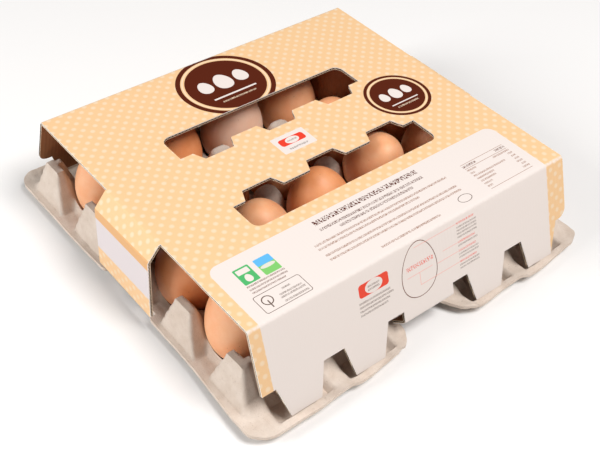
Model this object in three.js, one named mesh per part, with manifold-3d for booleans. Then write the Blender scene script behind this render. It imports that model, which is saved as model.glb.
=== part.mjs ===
// Twenty brown hen's eggs in a moulded-pulp tray, held by a wrap-around sleeve of
// corrugated board with two long windows in its top.
// Millimetres, +Z up. X runs along the five cells of a row, Y across the four rows.
// The origin is under the middle of the pack, on the surface it stands on.

import * as THREE from 'three';
import { mergeVertices } from 'three/addons/utils/BufferGeometryUtils.js';
import Module from 'manifold-3d';

// ---- the cells -------------------------------------------------------------
const COLUMNS = 5; // cells along X
const ROWS = 4; // cells along Y
const PITCH_X = 50.5;
const PITCH_Y = 51.7;
const CELLS_HALF_X = (COLUMNS * PITCH_X) / 2;
const CELLS_HALF_Y = (ROWS * PITCH_Y) / 2;

// ---- the pulp tray ---------------------------------------------------------
const PULP = 2.4; // wall thickness
const CUP_FLOOR_RADIUS = 11.5;
const CUP_RADIUS = 25.6; // of the round hollow that an egg sits in
const CUP_DEPTH = 34; // upright half-axis of that hollow
const CUP_FLOOR_LINE = 9; // grid lines of the mesh, from a cell's middle
const CUP_WALL_LINE = 14.4;
const POST_Z = 37; // top of the posts between the cells
const POST_HALF = 6.8; // half-width of a post's flat top
const INNER_POST_SLOPE = 3; // the inner posts stand like columns
const SADDLE_Z = 17; // top of the low walls between them
const RIDGE_SLOPE = 1.35; // fall of the outer line from a post down to the next valley
const WALL_SLOPE = 3.5; // fall of the outer wall from that line to the rim

const FLANGE_Z = 9; // upper face of the flat rim
const FLANGE_HALF_X = 139.5;
const FLANGE_HALF_Y = 141;
const FLANGE_CORNER_RADIUS = 13;

// Flat outer faces of the posts: narrow at the top, wide at the foot.
const FACE_TOP_HALF = 7.5;
const FACE_SIDE_SLOPE = 2.67;
const END_CREST_X = CELLS_HALF_X + 1.75;
const END_FOOT_X = 134.5;
const END_NOTCH_FOOT_X = 131; // foot of the middle face, set back behind the notch
const SIDE_FACE_Y = 109.5; // crest of the post faces on the wide sides
const SIDE_FACE_SLOPE = 3.3;

// Along the wide sides deep pockets lie behind a narrow lip. Noses part them, one to a post.
const NOSE_HALF = 5.65; // half-width of a nose's level top
const NOSE_FOOT_HALF = 8.1;
const NOSE_SHIFT_X = 2.2; // of a nose from its post, on the front; mirrored on the back
const LEDGE_Y = 126; // where a nose's level top starts to rise towards its post
const LIP_FOOT_Y = 134.5;
const LIP_Y = 136.3; // inner edge of the lip
const LIP_UNDER = 2.2; // reach of the lip's lower edge beyond its upper one

// Notches in the middle of the rims, which the sleeve's tabs and flaps pass. Those in the
// wide sides splay: half-widths by how far out, fading to none at the reach.
const NOTCH_HALF_X = PITCH_X / 2 - NOSE_FOOT_HALF;
const NOTCH_SPLAY = new Map([[LIP_FOOT_Y, 23.6], [LIP_Y, 25.6], [FLANGE_HALF_Y, 31.5]]);
const NOTCH_REACH = 34;
const NOTCH_LEDGE_Z = 12.5; // the pulp stays low beside these, under the sleeve's tabs
const NOTCH_WALL_SLOPE = 6;
const NOTCH_HALF_Y = PITCH_Y / 2;
const NOTCH_FLOOR_X = 131.25;
const NOTCH_FLOOR_Y = 114.5;
const SAME_LINE = 0.1; // grid lines closer than this are one
const RIM_LINES_X = [END_CREST_X, NOTCH_FLOOR_X, END_FOOT_X, FLANGE_HALF_X];
const RIM_LINES_Y = [SIDE_FACE_Y, NOTCH_FLOOR_Y, LEDGE_Y, LIP_FOOT_Y, LIP_Y, FLANGE_HALF_Y];

// ---- the sleeve ------------------------------------------------------------
const PACK_Z = 71; // outer face of the sleeve's top
const BOARD = 2; // thickness of the corrugated board
const SLEEVE_SHIFT_X = -2; // the sleeve sits a little to one side on its tray
const SLEEVE_SHIFT_Y = -2.5;
const TOP_HALF_X = 126;
const TOP_HALF_Y = 112.3;
const PANEL_SPLAY = 0.345; // the long panels lean out by this for each mm they drop
const PANEL_FOOT_Z = FLANGE_Z + 0.4;
const FOLD_RADIUS = 3;

const WINDOW_END_X = 74;
const WINDOW_EDGE_Y = 51.1; // straight outer edge
const WINDOW_TOOTH_Y = 27.7; // inner edge, on the teeth
const WINDOW_RECESS_Y = 18.9; // inner edge, in the recesses
const WINDOW_PITCH = 50;
const RECESS_HALF = 10.9;
const MOUTH_HALF = 14.8;
const WINDOW_CORNER_RADIUS = 6;

const SLOT_TOP_Z = 30.5; // top of the slots in the long panels
const SLOT_X = 74.7;
const SLOT_TOP_HALF = 7.7;
const SLOT_FOOT_HALF = 14.4;
const CORNER_SLOT_TOP_X = 116.4;
const CORNER_SLOT_FOOT_X = 108.5;
const EAR_RADIUS = 7;

const TAB_HALF_X = 20.4;
const TAB_CREASE_Z = 22.3;
const TAB_END_INSET = 10; // how far the folded-in tab reaches in from its crease
const TAB_END_DROP = 8.3;
const TAB_SLOT_TOP_X = 33.2;
const TAB_SLOT_FOOT_X = 40.5;

const FLAP_HALF_Y = 29.4;
const FLAP_FOLD_X = 127;
const FLAP_SHOULDER_X = 135.5;
const FLAP_SHOULDER_Z = 60.5;
const FLAP_FOOT_X = 136.5;
const FLAP_FOOT_Z = 16;
const FLAP_OVERLAP = 6; // length of top panel that the flap's own solid runs under

// ---- the eggs --------------------------------------------------------------
const EGG_GAP = 0.5; // between an egg and the cup floor under it
const EGG_TAPER = 0.13; // the point is up
const EGG_SIDES = 12;
const EGG_RINGS = 7;
const EGG_SEED = 20;
const EGG_LENGTHS = [[58.5, 62], [58.5, 62], [57.4, 58.4], [58.5, 61]]; // least and most, by row
const EGG_RADII = [22, 22.6];
const EGG_LEAN = 3; // at most, in degrees
const PALE_EGG = 'egg_r4_c3';
// The eggs that lie in a way of their own: where their middle is in their cell, how many
// degrees their point leans along X and Y, their length and their greatest half-width.
const OWN_WAY = {
  egg_r1_c1: { shift: [-2.2, 0.1], lean: [-2.1, 1.6], length: 60.8, radius: 22.5 },
  egg_r2_c1: { shift: [-2.8, 0], lean: [-3, 0], length: 61.2, radius: 22.5 },
  egg_r4_c1: { shift: [-0.8, -3.1], lean: [-2, -7], length: 58.8, radius: 22.3 },
  egg_r2_c2: { shift: [-2.6, -2.4], lean: [-5.5, -5.5], length: 59.4, radius: 22 },
  egg_r2_c3: { shift: [-3.2, -1], lean: [-8.5, 0], length: 59.8, radius: 22.2 },
  egg_r2_c4: { shift: [-1.2, 4.9], lean: [-9, -32], length: 59, radius: 20, middleZ: 39.7 },
  egg_r3_c2: { shift: [-1, -3], lean: [-2, -8], length: 57, radius: 22.1 },
  egg_r3_c3: { shift: [0, -3], lean: [-2, -8], length: 57.2, radius: 22.1 },
  egg_r3_c4: { shift: [0, 0], lean: [0, -1], length: 60.5, radius: 22.2 },
  egg_r4_c2: { shift: [-1.7, -0.6], lean: [-2.3, -1.1], length: 60, radius: 22.5 },
  egg_r4_c3: { shift: [-0.9, -3.1], lean: [3, -6], length: 62.5, radius: 22.2 },
  egg_r4_c4: { shift: [1.2, 1], lean: [0, 2], length: 58, radius: 21.6 },
};

// ---- finishes --------------------------------------------------------------
const pulp = new THREE.MeshStandardMaterial({ color: 0xcdb8a6, roughness: 0.95, metalness: 0 });
const board = new THREE.MeshStandardMaterial({ color: 0xfbd09c, roughness: 0.7, metalness: 0 });
const shells = [0xe08a52, 0xd97f48, 0xe69a68].map(
  (color) => new THREE.MeshStandardMaterial({ color, roughness: 0.5, metalness: 0 }),
);
const paleShell = new THREE.MeshStandardMaterial({ color: 0xdeb39c, roughness: 0.5, metalness: 0 });

const wasm = await Module();
wasm.setup();

const { abs, cos, hypot, max, min, sin, sqrt } = Math;
const pack = new THREE.Group();

// ---------------------------------------------------------------------------
// Helpers: booleans, extrusions and board outlines
// ---------------------------------------------------------------------------

/** A closed solid for joining and cutting, from any closed geometry. */
function toSolid(geometry) {
  const bare = geometry.clone();
  bare.deleteAttribute('normal');
  bare.deleteAttribute('uv');
  const merged = mergeVertices(bare, 1e-4);
  const mesh = new wasm.Mesh({
    numProp: 3,
    vertProperties: merged.attributes.position.array,
    triVerts: new Uint32Array(merged.index.array),
  });
  return new wasm.Manifold(mesh);
}

/** The geometry of a solid that was joined or cut. */
function toGeometry(solid) {
  const mesh = solid.getMesh();
  const geometry = new THREE.BufferGeometry();
  geometry.setAttribute('position', new THREE.BufferAttribute(mesh.vertProperties, mesh.numProp));
  geometry.setIndex(new THREE.BufferAttribute(mesh.triVerts, 1));
  geometry.computeVertexNormals();
  return geometry;
}

/** Extrudes a shape drawn in (Y, Z) along X, centred on the origin. */
function extrudeAlongX(shape, length) {
  const geometry = new THREE.ExtrudeGeometry(shape, {
    depth: length, bevelEnabled: false, curveSegments: 3,
  });
  const turn = new THREE.Matrix4().makeBasis(
    new THREE.Vector3(0, 1, 0), new THREE.Vector3(0, 0, 1), new THREE.Vector3(1, 0, 0),
  );
  return geometry.applyMatrix4(turn).translate(-length / 2, 0, 0);
}

/** Extrudes a shape drawn in (X, Z) along Y, centred on the origin. */
function extrudeAlongY(shape, length) {
  const geometry = new THREE.ExtrudeGeometry(shape, {
    depth: length, bevelEnabled: false, curveSegments: 3,
  });
  const turn = new THREE.Matrix4().makeBasis(
    new THREE.Vector3(1, 0, 0), new THREE.Vector3(0, 0, 1), new THREE.Vector3(0, -1, 0),
  );
  return geometry.applyMatrix4(turn).translate(0, length / 2, 0);
}

/** A closed shape through the given [x, y] corners. */
function polygon(corners) {
  return new THREE.Shape(corners.map(([x, y]) => new THREE.Vector2(x, y)));
}

/** Where two lines meet, each given by a point and a direction. */
function meet(a, u, b, v) {
  const t = ((b.x - a.x) * v.y - (b.y - a.y) * v.x) / (u.x * v.y - u.y * v.x);
  return a.clone().addScaledVector(u, t);
}

/** Adds a path to a shape, with each inner corner rounded to about the radius. */
function tracePath(shape, points, radius, start) {
  if (start) shape.moveTo(points[0].x, points[0].y);
  else shape.lineTo(points[0].x, points[0].y);
  for (let i = 1; i < points.length - 1; i += 1) {
    const back = points[i - 1].clone().sub(points[i]).normalize();
    const ahead = points[i + 1].clone().sub(points[i]).normalize();
    const run = radius / Math.tan(Math.acos(THREE.MathUtils.clamp(back.dot(ahead), -1, 1)) / 2);
    const from = points[i].clone().addScaledVector(back, run);
    const to = points[i].clone().addScaledVector(ahead, run);
    shape.lineTo(from.x, from.y);
    shape.quadraticCurveTo(points[i].x, points[i].y, to.x, to.y);
  }
  const last = points[points.length - 1];
  shape.lineTo(last.x, last.y);
}

/**
 * The cross-section of folded board: its outer face follows the corners, and the
 * board's thickness lies to the right of the direction of travel.
 */
function foldedBoard(corners, radius) {
  const outer = corners.map(([x, y]) => new THREE.Vector2(x, y));
  const along = outer.slice(1).map((point, i) => point.clone().sub(outer[i]).normalize());
  const shifted = along.map((direction, i) => {
    const right = new THREE.Vector2(direction.y, -direction.x);
    return outer[i].clone().addScaledVector(right, BOARD);
  });
  const last = along.length - 1;
  const inner = [shifted[0]];
  for (let i = 1; i < along.length; i += 1) {
    inner.push(meet(shifted[i - 1], along[i - 1], shifted[i], along[i]));
  }
  const endRight = new THREE.Vector2(along[last].y, -along[last].x);
  inner.push(outer[last + 1].clone().addScaledVector(endRight, BOARD));
  const shape = new THREE.Shape();
  tracePath(shape, outer, radius, true);
  tracePath(shape, inner.reverse(), max(radius - BOARD, 0.5), false);
  shape.closePath();
  return shape;
}

// ---------------------------------------------------------------------------
// The tray: a shell of even thickness under one height function
// ---------------------------------------------------------------------------

/** Centres of a run of evenly spaced things about the origin. */
function centredRun(count, pitch) {
  return Array.from({ length: count }, (_, i) => (i - (count - 1) / 2) * pitch);
}

const POST_LINES_X = centredRun(COLUMNS + 1, PITCH_X);
const POST_LINES_Y = centredRun(ROWS + 1, PITCH_Y);
const CELL_LINES_X = centredRun(COLUMNS, PITCH_X);
const CELL_LINES_Y = centredRun(ROWS, PITCH_Y);

/** Distance from a value to the nearest of a list of lines. */
function nearest(value, lines) {
  return min(...lines.map((line) => abs(value - line)));
}

/** Height of the posts and of the ridges and low walls that run between them. */
function ridgeHeight(x, y) {
  const inward = min(CELLS_HALF_X - abs(x), CELLS_HALF_Y - abs(y));
  let height = min(SADDLE_Z, FLANGE_Z + inward);
  for (const postX of POST_LINES_X) {
    for (const postY of POST_LINES_Y) {
      const outer = abs(postX) > CELLS_HALF_X - 1 || abs(postY) > CELLS_HALF_Y - 1;
      const slope = outer ? RIDGE_SLOPE : INNER_POST_SLOPE;
      const away = max(abs(x - postX), abs(y - postY)) - POST_HALF;
      height = max(height, POST_Z - slope * max(away, 0));
    }
  }
  return height;
}

/** Height of the round hollow at a distance from a cell's centre. */
function cupHeight(radius) {
  const rise = (r) => CUP_DEPTH * sqrt(max(1 - (r / CUP_RADIUS) ** 2, 0));
  if (radius >= CUP_RADIUS) return POST_Z;
  return PULP + max(rise(CUP_FLOOR_RADIUS) - rise(radius), 0);
}

/** Height of the plane in which the ends' faces lie, from its crest down to its foot. */
function endFront(x, foot) {
  const lean = (POST_Z - FLANGE_Z) / (foot - END_CREST_X);
  return POST_Z - lean * max(abs(x) - END_CREST_X, 0);
}

/** Height of the flat faces on the two ends of the tray. */
function endFaceHeight(x, y) {
  let height = 0;
  for (const postY of POST_LINES_Y) {
    const front = endFront(x, postY === 0 ? END_NOTCH_FOOT_X : END_FOOT_X);
    const side = POST_Z - FACE_SIDE_SLOPE * (abs(y - postY) - FACE_TOP_HALF);
    height = max(height, min(front, side));
  }
  return height;
}

/** Middle of the nose in front of a post: a little to one side, but for those at the corners. */
function noseLine(postX, y) {
  if (abs(postX) > CELLS_HALF_X - 1) return postX;
  return postX + (y < 0 ? NOSE_SHIFT_X : -NOSE_SHIFT_X);
}

/** Height of the post faces on the wide sides, and of the noses that run out from them. */
function sideHeight(x, y) {
  const out = abs(y);
  const flank = POST_Z - FACE_SIDE_SLOPE * (nearest(x, POST_LINES_X) - FACE_TOP_HALF);
  const face = POST_Z - SIDE_FACE_SLOPE * max(out - SIDE_FACE_Y, 0);
  const ledge = FLANGE_Z + max(LEDGE_Y - out, 0);
  const off = nearest(x, POST_LINES_X.map((line) => noseLine(line, y)));
  const nose = ledge - FACE_SIDE_SLOPE * max(off - NOSE_HALF, 0);
  const clear = NOTCH_LEDGE_Z + FACE_SIDE_SLOPE * max(abs(x) - PITCH_X / 2, 0)
    + NOTCH_WALL_SLOPE * max(NOTCH_FLOOR_Y - out, 0);
  return min(max(min(face, flank), nose), clear);
}

/** Height of the rim along the wide sides: the pockets' floor, and the lip outside them. */
function rimHeight(y) {
  const climb = (abs(y) - LIP_FOOT_Y) / (LIP_Y - LIP_FOOT_Y);
  return THREE.MathUtils.lerp(PULP, FLANGE_Z, THREE.MathUtils.clamp(climb, 0, 1));
}

/** Height of the tray's upper face at a point of its own plan. */
function trayHeight(x, y) {
  const beyondX = abs(x) - CELLS_HALF_X;
  const beyondY = abs(y) - CELLS_HALF_Y;
  if (beyondX <= 0 && beyondY <= 0) {
    const radius = hypot(nearest(x, CELL_LINES_X), nearest(y, CELL_LINES_Y));
    return min(ridgeHeight(x, y), cupHeight(radius));
  }
  const edgeX = THREE.MathUtils.clamp(x, -CELLS_HALF_X, CELLS_HALF_X);
  const edgeY = THREE.MathUtils.clamp(y, -CELLS_HALF_Y, CELLS_HALF_Y);
  const wall = ridgeHeight(edgeX, edgeY) - WALL_SLOPE * max(beyondX, beyondY);
  const side = beyondY > 0 ? sideHeight(x, y) : 0;
  if (beyondX <= 0) return max(wall, side, rimHeight(y));
  return max(wall, min(side, endFront(x, END_FOOT_X)), endFaceHeight(x, y), FLANGE_Z);
}

/** Pulls a point of the rim in to the rounded corner of the flange. */
function roundFlangeCorner(x, y) {
  const cornerX = FLANGE_HALF_X - FLANGE_CORNER_RADIUS;
  const cornerY = FLANGE_HALF_Y - FLANGE_CORNER_RADIUS;
  const overX = abs(x) - cornerX;
  const overY = abs(y) - cornerY;
  const far = hypot(overX, overY);
  if (overX <= 0 || overY <= 0 || far <= FLANGE_CORNER_RADIUS) return [x, y];
  const scale = FLANGE_CORNER_RADIUS / far;
  return [
    Math.sign(x) * (cornerX + overX * scale),
    Math.sign(y) * (cornerY + overY * scale),
  ];
}

/** Draws the grid lines beside a post together in front of it, on to the edges of its nose. */
function drawToNoses(x, y) {
  if (abs(y) < LEDGE_Y || abs(x) > CELLS_HALF_X - PITCH_X / 2) return x;
  const post = POST_LINES_X.find((line) => abs(x - line) < PITCH_X / 2 - SAME_LINE);
  if (post === undefined) return x;
  const off = abs(x - post);
  const along = [0, POST_HALF, PITCH_X / 2 - CUP_WALL_LINE, PITCH_X / 2 - CUP_FLOOR_LINE];
  const drawn = [0, NOSE_HALF, NOSE_FOOT_HALF, PITCH_X / 2 - CUP_FLOOR_LINE];
  const step = along.findIndex((line) => abs(line - off) < SAME_LINE);
  return noseLine(post, y) + Math.sign(x - post) * drawn[step];
}

/** Draws the grid lines of the outer rows away from a wide side's notch, whose sides splay. */
function drawFromNotch(x, y) {
  const middle = y < 0 ? NOSE_SHIFT_X : -NOSE_SHIFT_X;
  const off = abs(x - middle);
  const edge = NOTCH_SPLAY.get(abs(y));
  if (edge === undefined || off >= NOTCH_REACH) return x;
  const share = (NOTCH_REACH - edge) / (NOTCH_REACH - NOTCH_HALF_X);
  return middle + Math.sign(x - middle) * (NOTCH_REACH - (NOTCH_REACH - off) * share);
}

/** Grid lines of the tray's mesh: close on the posts, wider on cup floors and rims. */
function gridLines(postLines, pitch, rims) {
  const half = pitch / 2;
  const offsets = [POST_HALF, half - CUP_WALL_LINE, half - CUP_FLOOR_LINE];
  const lines = new Set();
  for (const line of postLines) {
    lines.add(line);
    offsets.forEach((offset) => {
      lines.add(line - offset);
      lines.add(line + offset);
    });
    lines.add(line + half);
  }
  const edge = postLines[postLines.length - 1];
  const inside = [...lines].filter((line) => abs(line) <= edge + SAME_LINE);
  return [...inside, ...rims, ...rims.map((line) => -line)].sort((a, b) => a - b);
}

/** The unit normal of the tray's upper face, from its slope over a short run. */
function trayNormal(x, y) {
  const slopeX = (trayHeight(x + PULP / 2, y) - trayHeight(x - PULP / 2, y)) / PULP;
  const slopeY = (trayHeight(x, y + PULP / 2) - trayHeight(x, y - PULP / 2)) / PULP;
  return new THREE.Vector3(-slopeX, -slopeY, 1).normalize();
}

/** The tray as a closed shell: upper face, under face and the cut edge between them. */
function trayGeometry() {
  const xs = gridLines(POST_LINES_X, PITCH_X, RIM_LINES_X);
  const ys = gridLines(POST_LINES_Y, PITCH_Y, RIM_LINES_Y);
  const upper = xs.map((x) => ys.map((y) => {
    const drawnX = drawToNoses(x, y);
    const [flatX, flatY] = roundFlangeCorner(drawFromNotch(drawnX, y), y);
    return new THREE.Vector3(flatX, flatY, trayHeight(drawnX, y));
  }));
  const under = upper.map((column, i) => column.map((point, j) => {
    const normal = trayNormal(drawToNoses(xs[i], ys[j]), ys[j]);
    const offset = point.clone().addScaledVector(normal, -PULP);
    offset.z = max(offset.z, 0);
    if (abs(point.x) > END_FOOT_X + SAME_LINE || abs(point.y) > LIP_Y - SAME_LINE) {
      const reach = abs(point.y) < LIP_Y + SAME_LINE ? Math.sign(point.y) * LIP_UNDER : 0;
      offset.set(point.x, point.y + reach, point.z - PULP);
    }
    return offset;
  }));
  const kept = (i, j) => {
    if (i < 0 || j < 0 || i >= xs.length - 1 || j >= ys.length - 1) return false;
    const x = abs(xs[i] + xs[i + 1]) / 2;
    const y = abs(ys[j] + ys[j + 1]) / 2;
    const endNotch = x > NOTCH_FLOOR_X && y < NOTCH_HALF_Y;
    const sideNotch = y > NOTCH_FLOOR_Y && x < CUP_WALL_LINE;
    return !endNotch && !sideNotch;
  };
  const positions = [];
  const face = (...corners) => corners.forEach((corner) => positions.push(...corner.toArray()));
  for (let i = 0; i < xs.length - 1; i += 1) {
    for (let j = 0; j < ys.length - 1; j += 1) {
      if (!kept(i, j)) continue;
      const top = [upper[i][j], upper[i + 1][j], upper[i + 1][j + 1], upper[i][j + 1]];
      const low = [under[i][j], under[i + 1][j], under[i + 1][j + 1], under[i][j + 1]];
      const first = top[0].z + top[2].z < top[1].z + top[3].z ? 0 : 1;
      const [a, b, c, d] = [0, 1, 2, 3].map((k) => (k + first) % 4);
      face(top[a], top[b], top[c]);
      face(top[a], top[c], top[d]);
      face(low[a], low[c], low[b]);
      face(low[a], low[d], low[c]);
      const sides = [[i, j - 1, 0, 1], [i + 1, j, 1, 2], [i, j + 1, 2, 3], [i - 1, j, 3, 0]];
      for (const [nextI, nextJ, from, to] of sides) {
        if (kept(nextI, nextJ)) continue;
        face(low[from], low[to], top[to]);
        face(low[from], top[to], top[from]);
      }
    }
  }
  const geometry = new THREE.BufferGeometry();
  geometry.setAttribute('position', new THREE.Float32BufferAttribute(positions, 3));
  const merged = mergeVertices(geometry, 1e-4);
  merged.computeVertexNormals();
  return merged;
}

function addTray() {
  const tray = new THREE.Mesh(trayGeometry(), pulp);
  tray.name = 'tray';
  pack.add(tray);
}

// ---------------------------------------------------------------------------
// The sleeve: one piece of board, folded over the tray and slotted into its rims
// ---------------------------------------------------------------------------

/** Outer face of a long panel at a height, as a distance from the middle plane. */
function panelY(z) {
  return TOP_HALF_Y + PANEL_SPLAY * (PACK_Z - z);
}

/** The top with its two long panels, before anything is cut out. */
function sleeveBand() {
  const below = PANEL_FOOT_Z - BOARD;
  const corners = [
    [-panelY(below), below],
    [-TOP_HALF_Y, PACK_Z],
    [TOP_HALF_Y, PACK_Z],
    [panelY(below), below],
  ];
  return toSolid(extrudeAlongX(foldedBoard(corners, FOLD_RADIUS), 2 * TOP_HALF_X));
}

/** One end flap: a sloping shoulder and an upright wall that hangs past the rim. */
function endFlap() {
  const corners = [
    [TOP_HALF_X - FLAP_OVERLAP, PACK_Z],
    [FLAP_FOLD_X, PACK_Z],
    [FLAP_SHOULDER_X, FLAP_SHOULDER_Z],
    [FLAP_FOOT_X, FLAP_FOOT_Z],
  ];
  return toSolid(extrudeAlongY(foldedBoard(corners, FOLD_RADIUS), 2 * FLAP_HALF_Y));
}

/** One tab: the foot of a long panel's middle, folded in through the tray's notch. */
function foldedTab() {
  const crease = -panelY(TAB_CREASE_Z);
  const above = TAB_CREASE_Z + 5;
  const corners = [
    [crease + TAB_END_INSET, TAB_CREASE_Z - TAB_END_DROP],
    [crease, TAB_CREASE_Z],
    [-panelY(above), above],
  ];
  return toSolid(extrudeAlongX(foldedBoard(corners, BOARD), 2 * TAB_HALF_X));
}

/** A long window of the top: straight outside, toothed inside, round outer corners. */
function windowCutter() {
  const shape = new THREE.Shape();
  const r = WINDOW_CORNER_RADIUS;
  shape.moveTo(-WINDOW_END_X, -WINDOW_TOOTH_Y);
  shape.lineTo(-WINDOW_END_X, -WINDOW_EDGE_Y + r);
  shape.quadraticCurveTo(-WINDOW_END_X, -WINDOW_EDGE_Y, -WINDOW_END_X + r, -WINDOW_EDGE_Y);
  shape.lineTo(WINDOW_END_X - r, -WINDOW_EDGE_Y);
  shape.quadraticCurveTo(WINDOW_END_X, -WINDOW_EDGE_Y, WINDOW_END_X, -WINDOW_EDGE_Y + r);
  shape.lineTo(WINDOW_END_X, -WINDOW_TOOTH_Y);
  for (const recess of [WINDOW_PITCH, 0, -WINDOW_PITCH]) {
    shape.lineTo(recess + MOUTH_HALF, -WINDOW_TOOTH_Y);
    shape.lineTo(recess + RECESS_HALF, -WINDOW_RECESS_Y);
    shape.lineTo(recess - RECESS_HALF, -WINDOW_RECESS_Y);
    shape.lineTo(recess - MOUTH_HALF, -WINDOW_TOOTH_Y);
  }
  const depth = 6 * BOARD;
  const cut = new THREE.ExtrudeGeometry(shape, { depth, bevelEnabled: false, curveSegments: 4 });
  return toSolid(cut.translate(0, 0, PACK_Z - depth / 2));
}

/** The slots, corner cuts and tab gaps of both long panels, drawn in (X, Z). */
function panelCutters() {
  const low = FLANGE_Z - 4;
  const far = TOP_HALF_X + 4;
  const slot = (x) => polygon([
    [x - SLOT_FOOT_HALF, low], [x + SLOT_FOOT_HALF, low],
    [x + SLOT_TOP_HALF, SLOT_TOP_Z], [x - SLOT_TOP_HALF, SLOT_TOP_Z],
  ]);
  const besideTab = (side) => polygon([
    [side * TAB_HALF_X, low], [side * TAB_SLOT_FOOT_X, low],
    [side * TAB_SLOT_TOP_X, SLOT_TOP_Z], [side * TAB_HALF_X, SLOT_TOP_Z],
  ]);
  const squareEar = polygon([
    [-far, low], [-CORNER_SLOT_FOOT_X, low],
    [-CORNER_SLOT_TOP_X, SLOT_TOP_Z], [-far, SLOT_TOP_Z],
  ]);
  const roundEar = new THREE.Shape();
  roundEar.moveTo(CORNER_SLOT_FOOT_X, low);
  roundEar.lineTo(CORNER_SLOT_TOP_X, SLOT_TOP_Z);
  roundEar.lineTo(TOP_HALF_X - EAR_RADIUS, SLOT_TOP_Z);
  roundEar.quadraticCurveTo(TOP_HALF_X, SLOT_TOP_Z, TOP_HALF_X, SLOT_TOP_Z + EAR_RADIUS);
  roundEar.lineTo(far, SLOT_TOP_Z + EAR_RADIUS);
  roundEar.lineTo(far, low);
  const underTab = polygon([
    [-TAB_HALF_X - 0.1, low], [TAB_HALF_X + 0.1, low],
    [TAB_HALF_X + 0.1, TAB_CREASE_Z], [-TAB_HALF_X - 0.1, TAB_CREASE_Z],
  ]);
  const underFoot = polygon([[-far, low], [far, low], [far, PANEL_FOOT_Z], [-far, PANEL_FOOT_Z]]);
  const shapes = [
    slot(-SLOT_X), slot(SLOT_X), besideTab(-1), besideTab(1), squareEar, roundEar, underTab, underFoot,
  ];
  return shapes.map((shape) => toSolid(extrudeAlongY(shape, 4 * TOP_HALF_Y)));
}

function addSleeve() {
  const flap = endFlap();
  const window = windowCutter();
  const tab = foldedTab();
  let sleeve = sleeveBand();
  for (const cutter of panelCutters()) sleeve = sleeve.subtract(cutter);
  sleeve = sleeve.subtract(window).subtract(window.rotate([0, 0, 180]));
  sleeve = sleeve.add(flap).add(flap.rotate([0, 0, 180]));
  sleeve = sleeve.add(tab).add(tab.rotate([0, 0, 180]));
  const mesh = new THREE.Mesh(toGeometry(sleeve), board);
  mesh.name = 'sleeve';
  mesh.position.set(SLEEVE_SHIFT_X, SLEEVE_SHIFT_Y, 0);
  pack.add(mesh);
}

// ---------------------------------------------------------------------------
// The eggs
// ---------------------------------------------------------------------------

/** A repeatable source of numbers from 0 to 1. */
function seededRandom(seed) {
  let state = seed;
  return () => {
    state = (state * 1664525 + 1013904223) % 4294967296;
    return state / 4294967296;
  };
}

/** An egg about its middle, with its point up. */
function eggGeometry(length, radius) {
  const profile = [];
  for (let i = 0; i <= EGG_RINGS; i += 1) {
    const angle = (Math.PI * i) / EGG_RINGS;
    const height = -cos(angle);
    const width = i === 0 || i === EGG_RINGS ? 0 : sin(angle) * (1 - EGG_TAPER * height);
    profile.push(new THREE.Vector2(radius * width, (length / 2) * height));
  }
  return new THREE.LatheGeometry(profile, EGG_SIDES).rotateX(Math.PI / 2);
}

/** Height of the middle of an egg that stands in its cup, leaning by an angle. */
function standingMiddle(length, radius, lean) {
  return PULP + EGG_GAP + hypot((length / 2) * cos(lean), radius * sin(lean));
}

function addEggs() {
  const random = seededRandom(EGG_SEED);
  const between = (low, high) => low + (high - low) * random();
  CELL_LINES_Y.forEach((y, row) => {
    CELL_LINES_X.forEach((x, column) => {
      const name = `egg_r${row + 1}_c${column + 1}`;
      const drawn = {
        shift: [0, 0],
        lean: [between(-EGG_LEAN, EGG_LEAN), between(-EGG_LEAN, EGG_LEAN)],
        length: between(...EGG_LENGTHS[row]),
        radius: between(...EGG_RADII),
      };
      const { shift, lean, length, radius, middleZ } = OWN_WAY[name] ?? drawn;
      const [leanX, leanY] = lean.map((degrees) => Math.tan(THREE.MathUtils.degToRad(degrees)));
      const axis = new THREE.Vector3(leanX, leanY, 1).normalize();
      const shell = shells[Math.floor(random() * shells.length)];
      const egg = new THREE.Mesh(eggGeometry(length, radius), name === PALE_EGG ? paleShell : shell);
      egg.name = name;
      egg.quaternion.setFromUnitVectors(new THREE.Vector3(0, 0, 1), axis);
      const middle = middleZ ?? standingMiddle(length, radius, Math.acos(axis.z));
      egg.position.set(x + shift[0], y + shift[1], middle);
      pack.add(egg);
    });
  });
}

addTray();
addSleeve();
addEggs();

export default pack;
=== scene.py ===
"""Looks of a pack of twenty brown hen's eggs: a moulded-pulp tray under a printed corrugated sleeve.

Sizes in the classes are millimetres; meshes are written in metres, in the CAD frame: +Z up, X along
the rows of five eggs, the origin under the middle of the tray.
"""

import logging
import math
from dataclasses import dataclass, field
from enum import Enum
from functools import partial
from typing import Callable, Optional, Sequence, Union

import bpy
import numpy as np
from mathutils import Matrix, Vector, geometry


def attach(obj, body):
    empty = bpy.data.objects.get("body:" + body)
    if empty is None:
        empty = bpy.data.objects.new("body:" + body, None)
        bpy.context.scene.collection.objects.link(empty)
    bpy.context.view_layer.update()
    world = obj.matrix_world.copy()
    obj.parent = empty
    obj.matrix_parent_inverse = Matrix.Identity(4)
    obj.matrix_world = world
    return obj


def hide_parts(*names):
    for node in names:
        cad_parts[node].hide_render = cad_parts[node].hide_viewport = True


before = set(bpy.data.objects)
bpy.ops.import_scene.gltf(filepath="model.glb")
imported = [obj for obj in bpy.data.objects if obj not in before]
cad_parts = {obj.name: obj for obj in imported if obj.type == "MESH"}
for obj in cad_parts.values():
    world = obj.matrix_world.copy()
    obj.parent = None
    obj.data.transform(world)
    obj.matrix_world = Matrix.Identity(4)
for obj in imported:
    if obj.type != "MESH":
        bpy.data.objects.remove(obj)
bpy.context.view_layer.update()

MM = 0.001
BODY = "root"
LOG = logging.getLogger("egg_pack")

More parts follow.
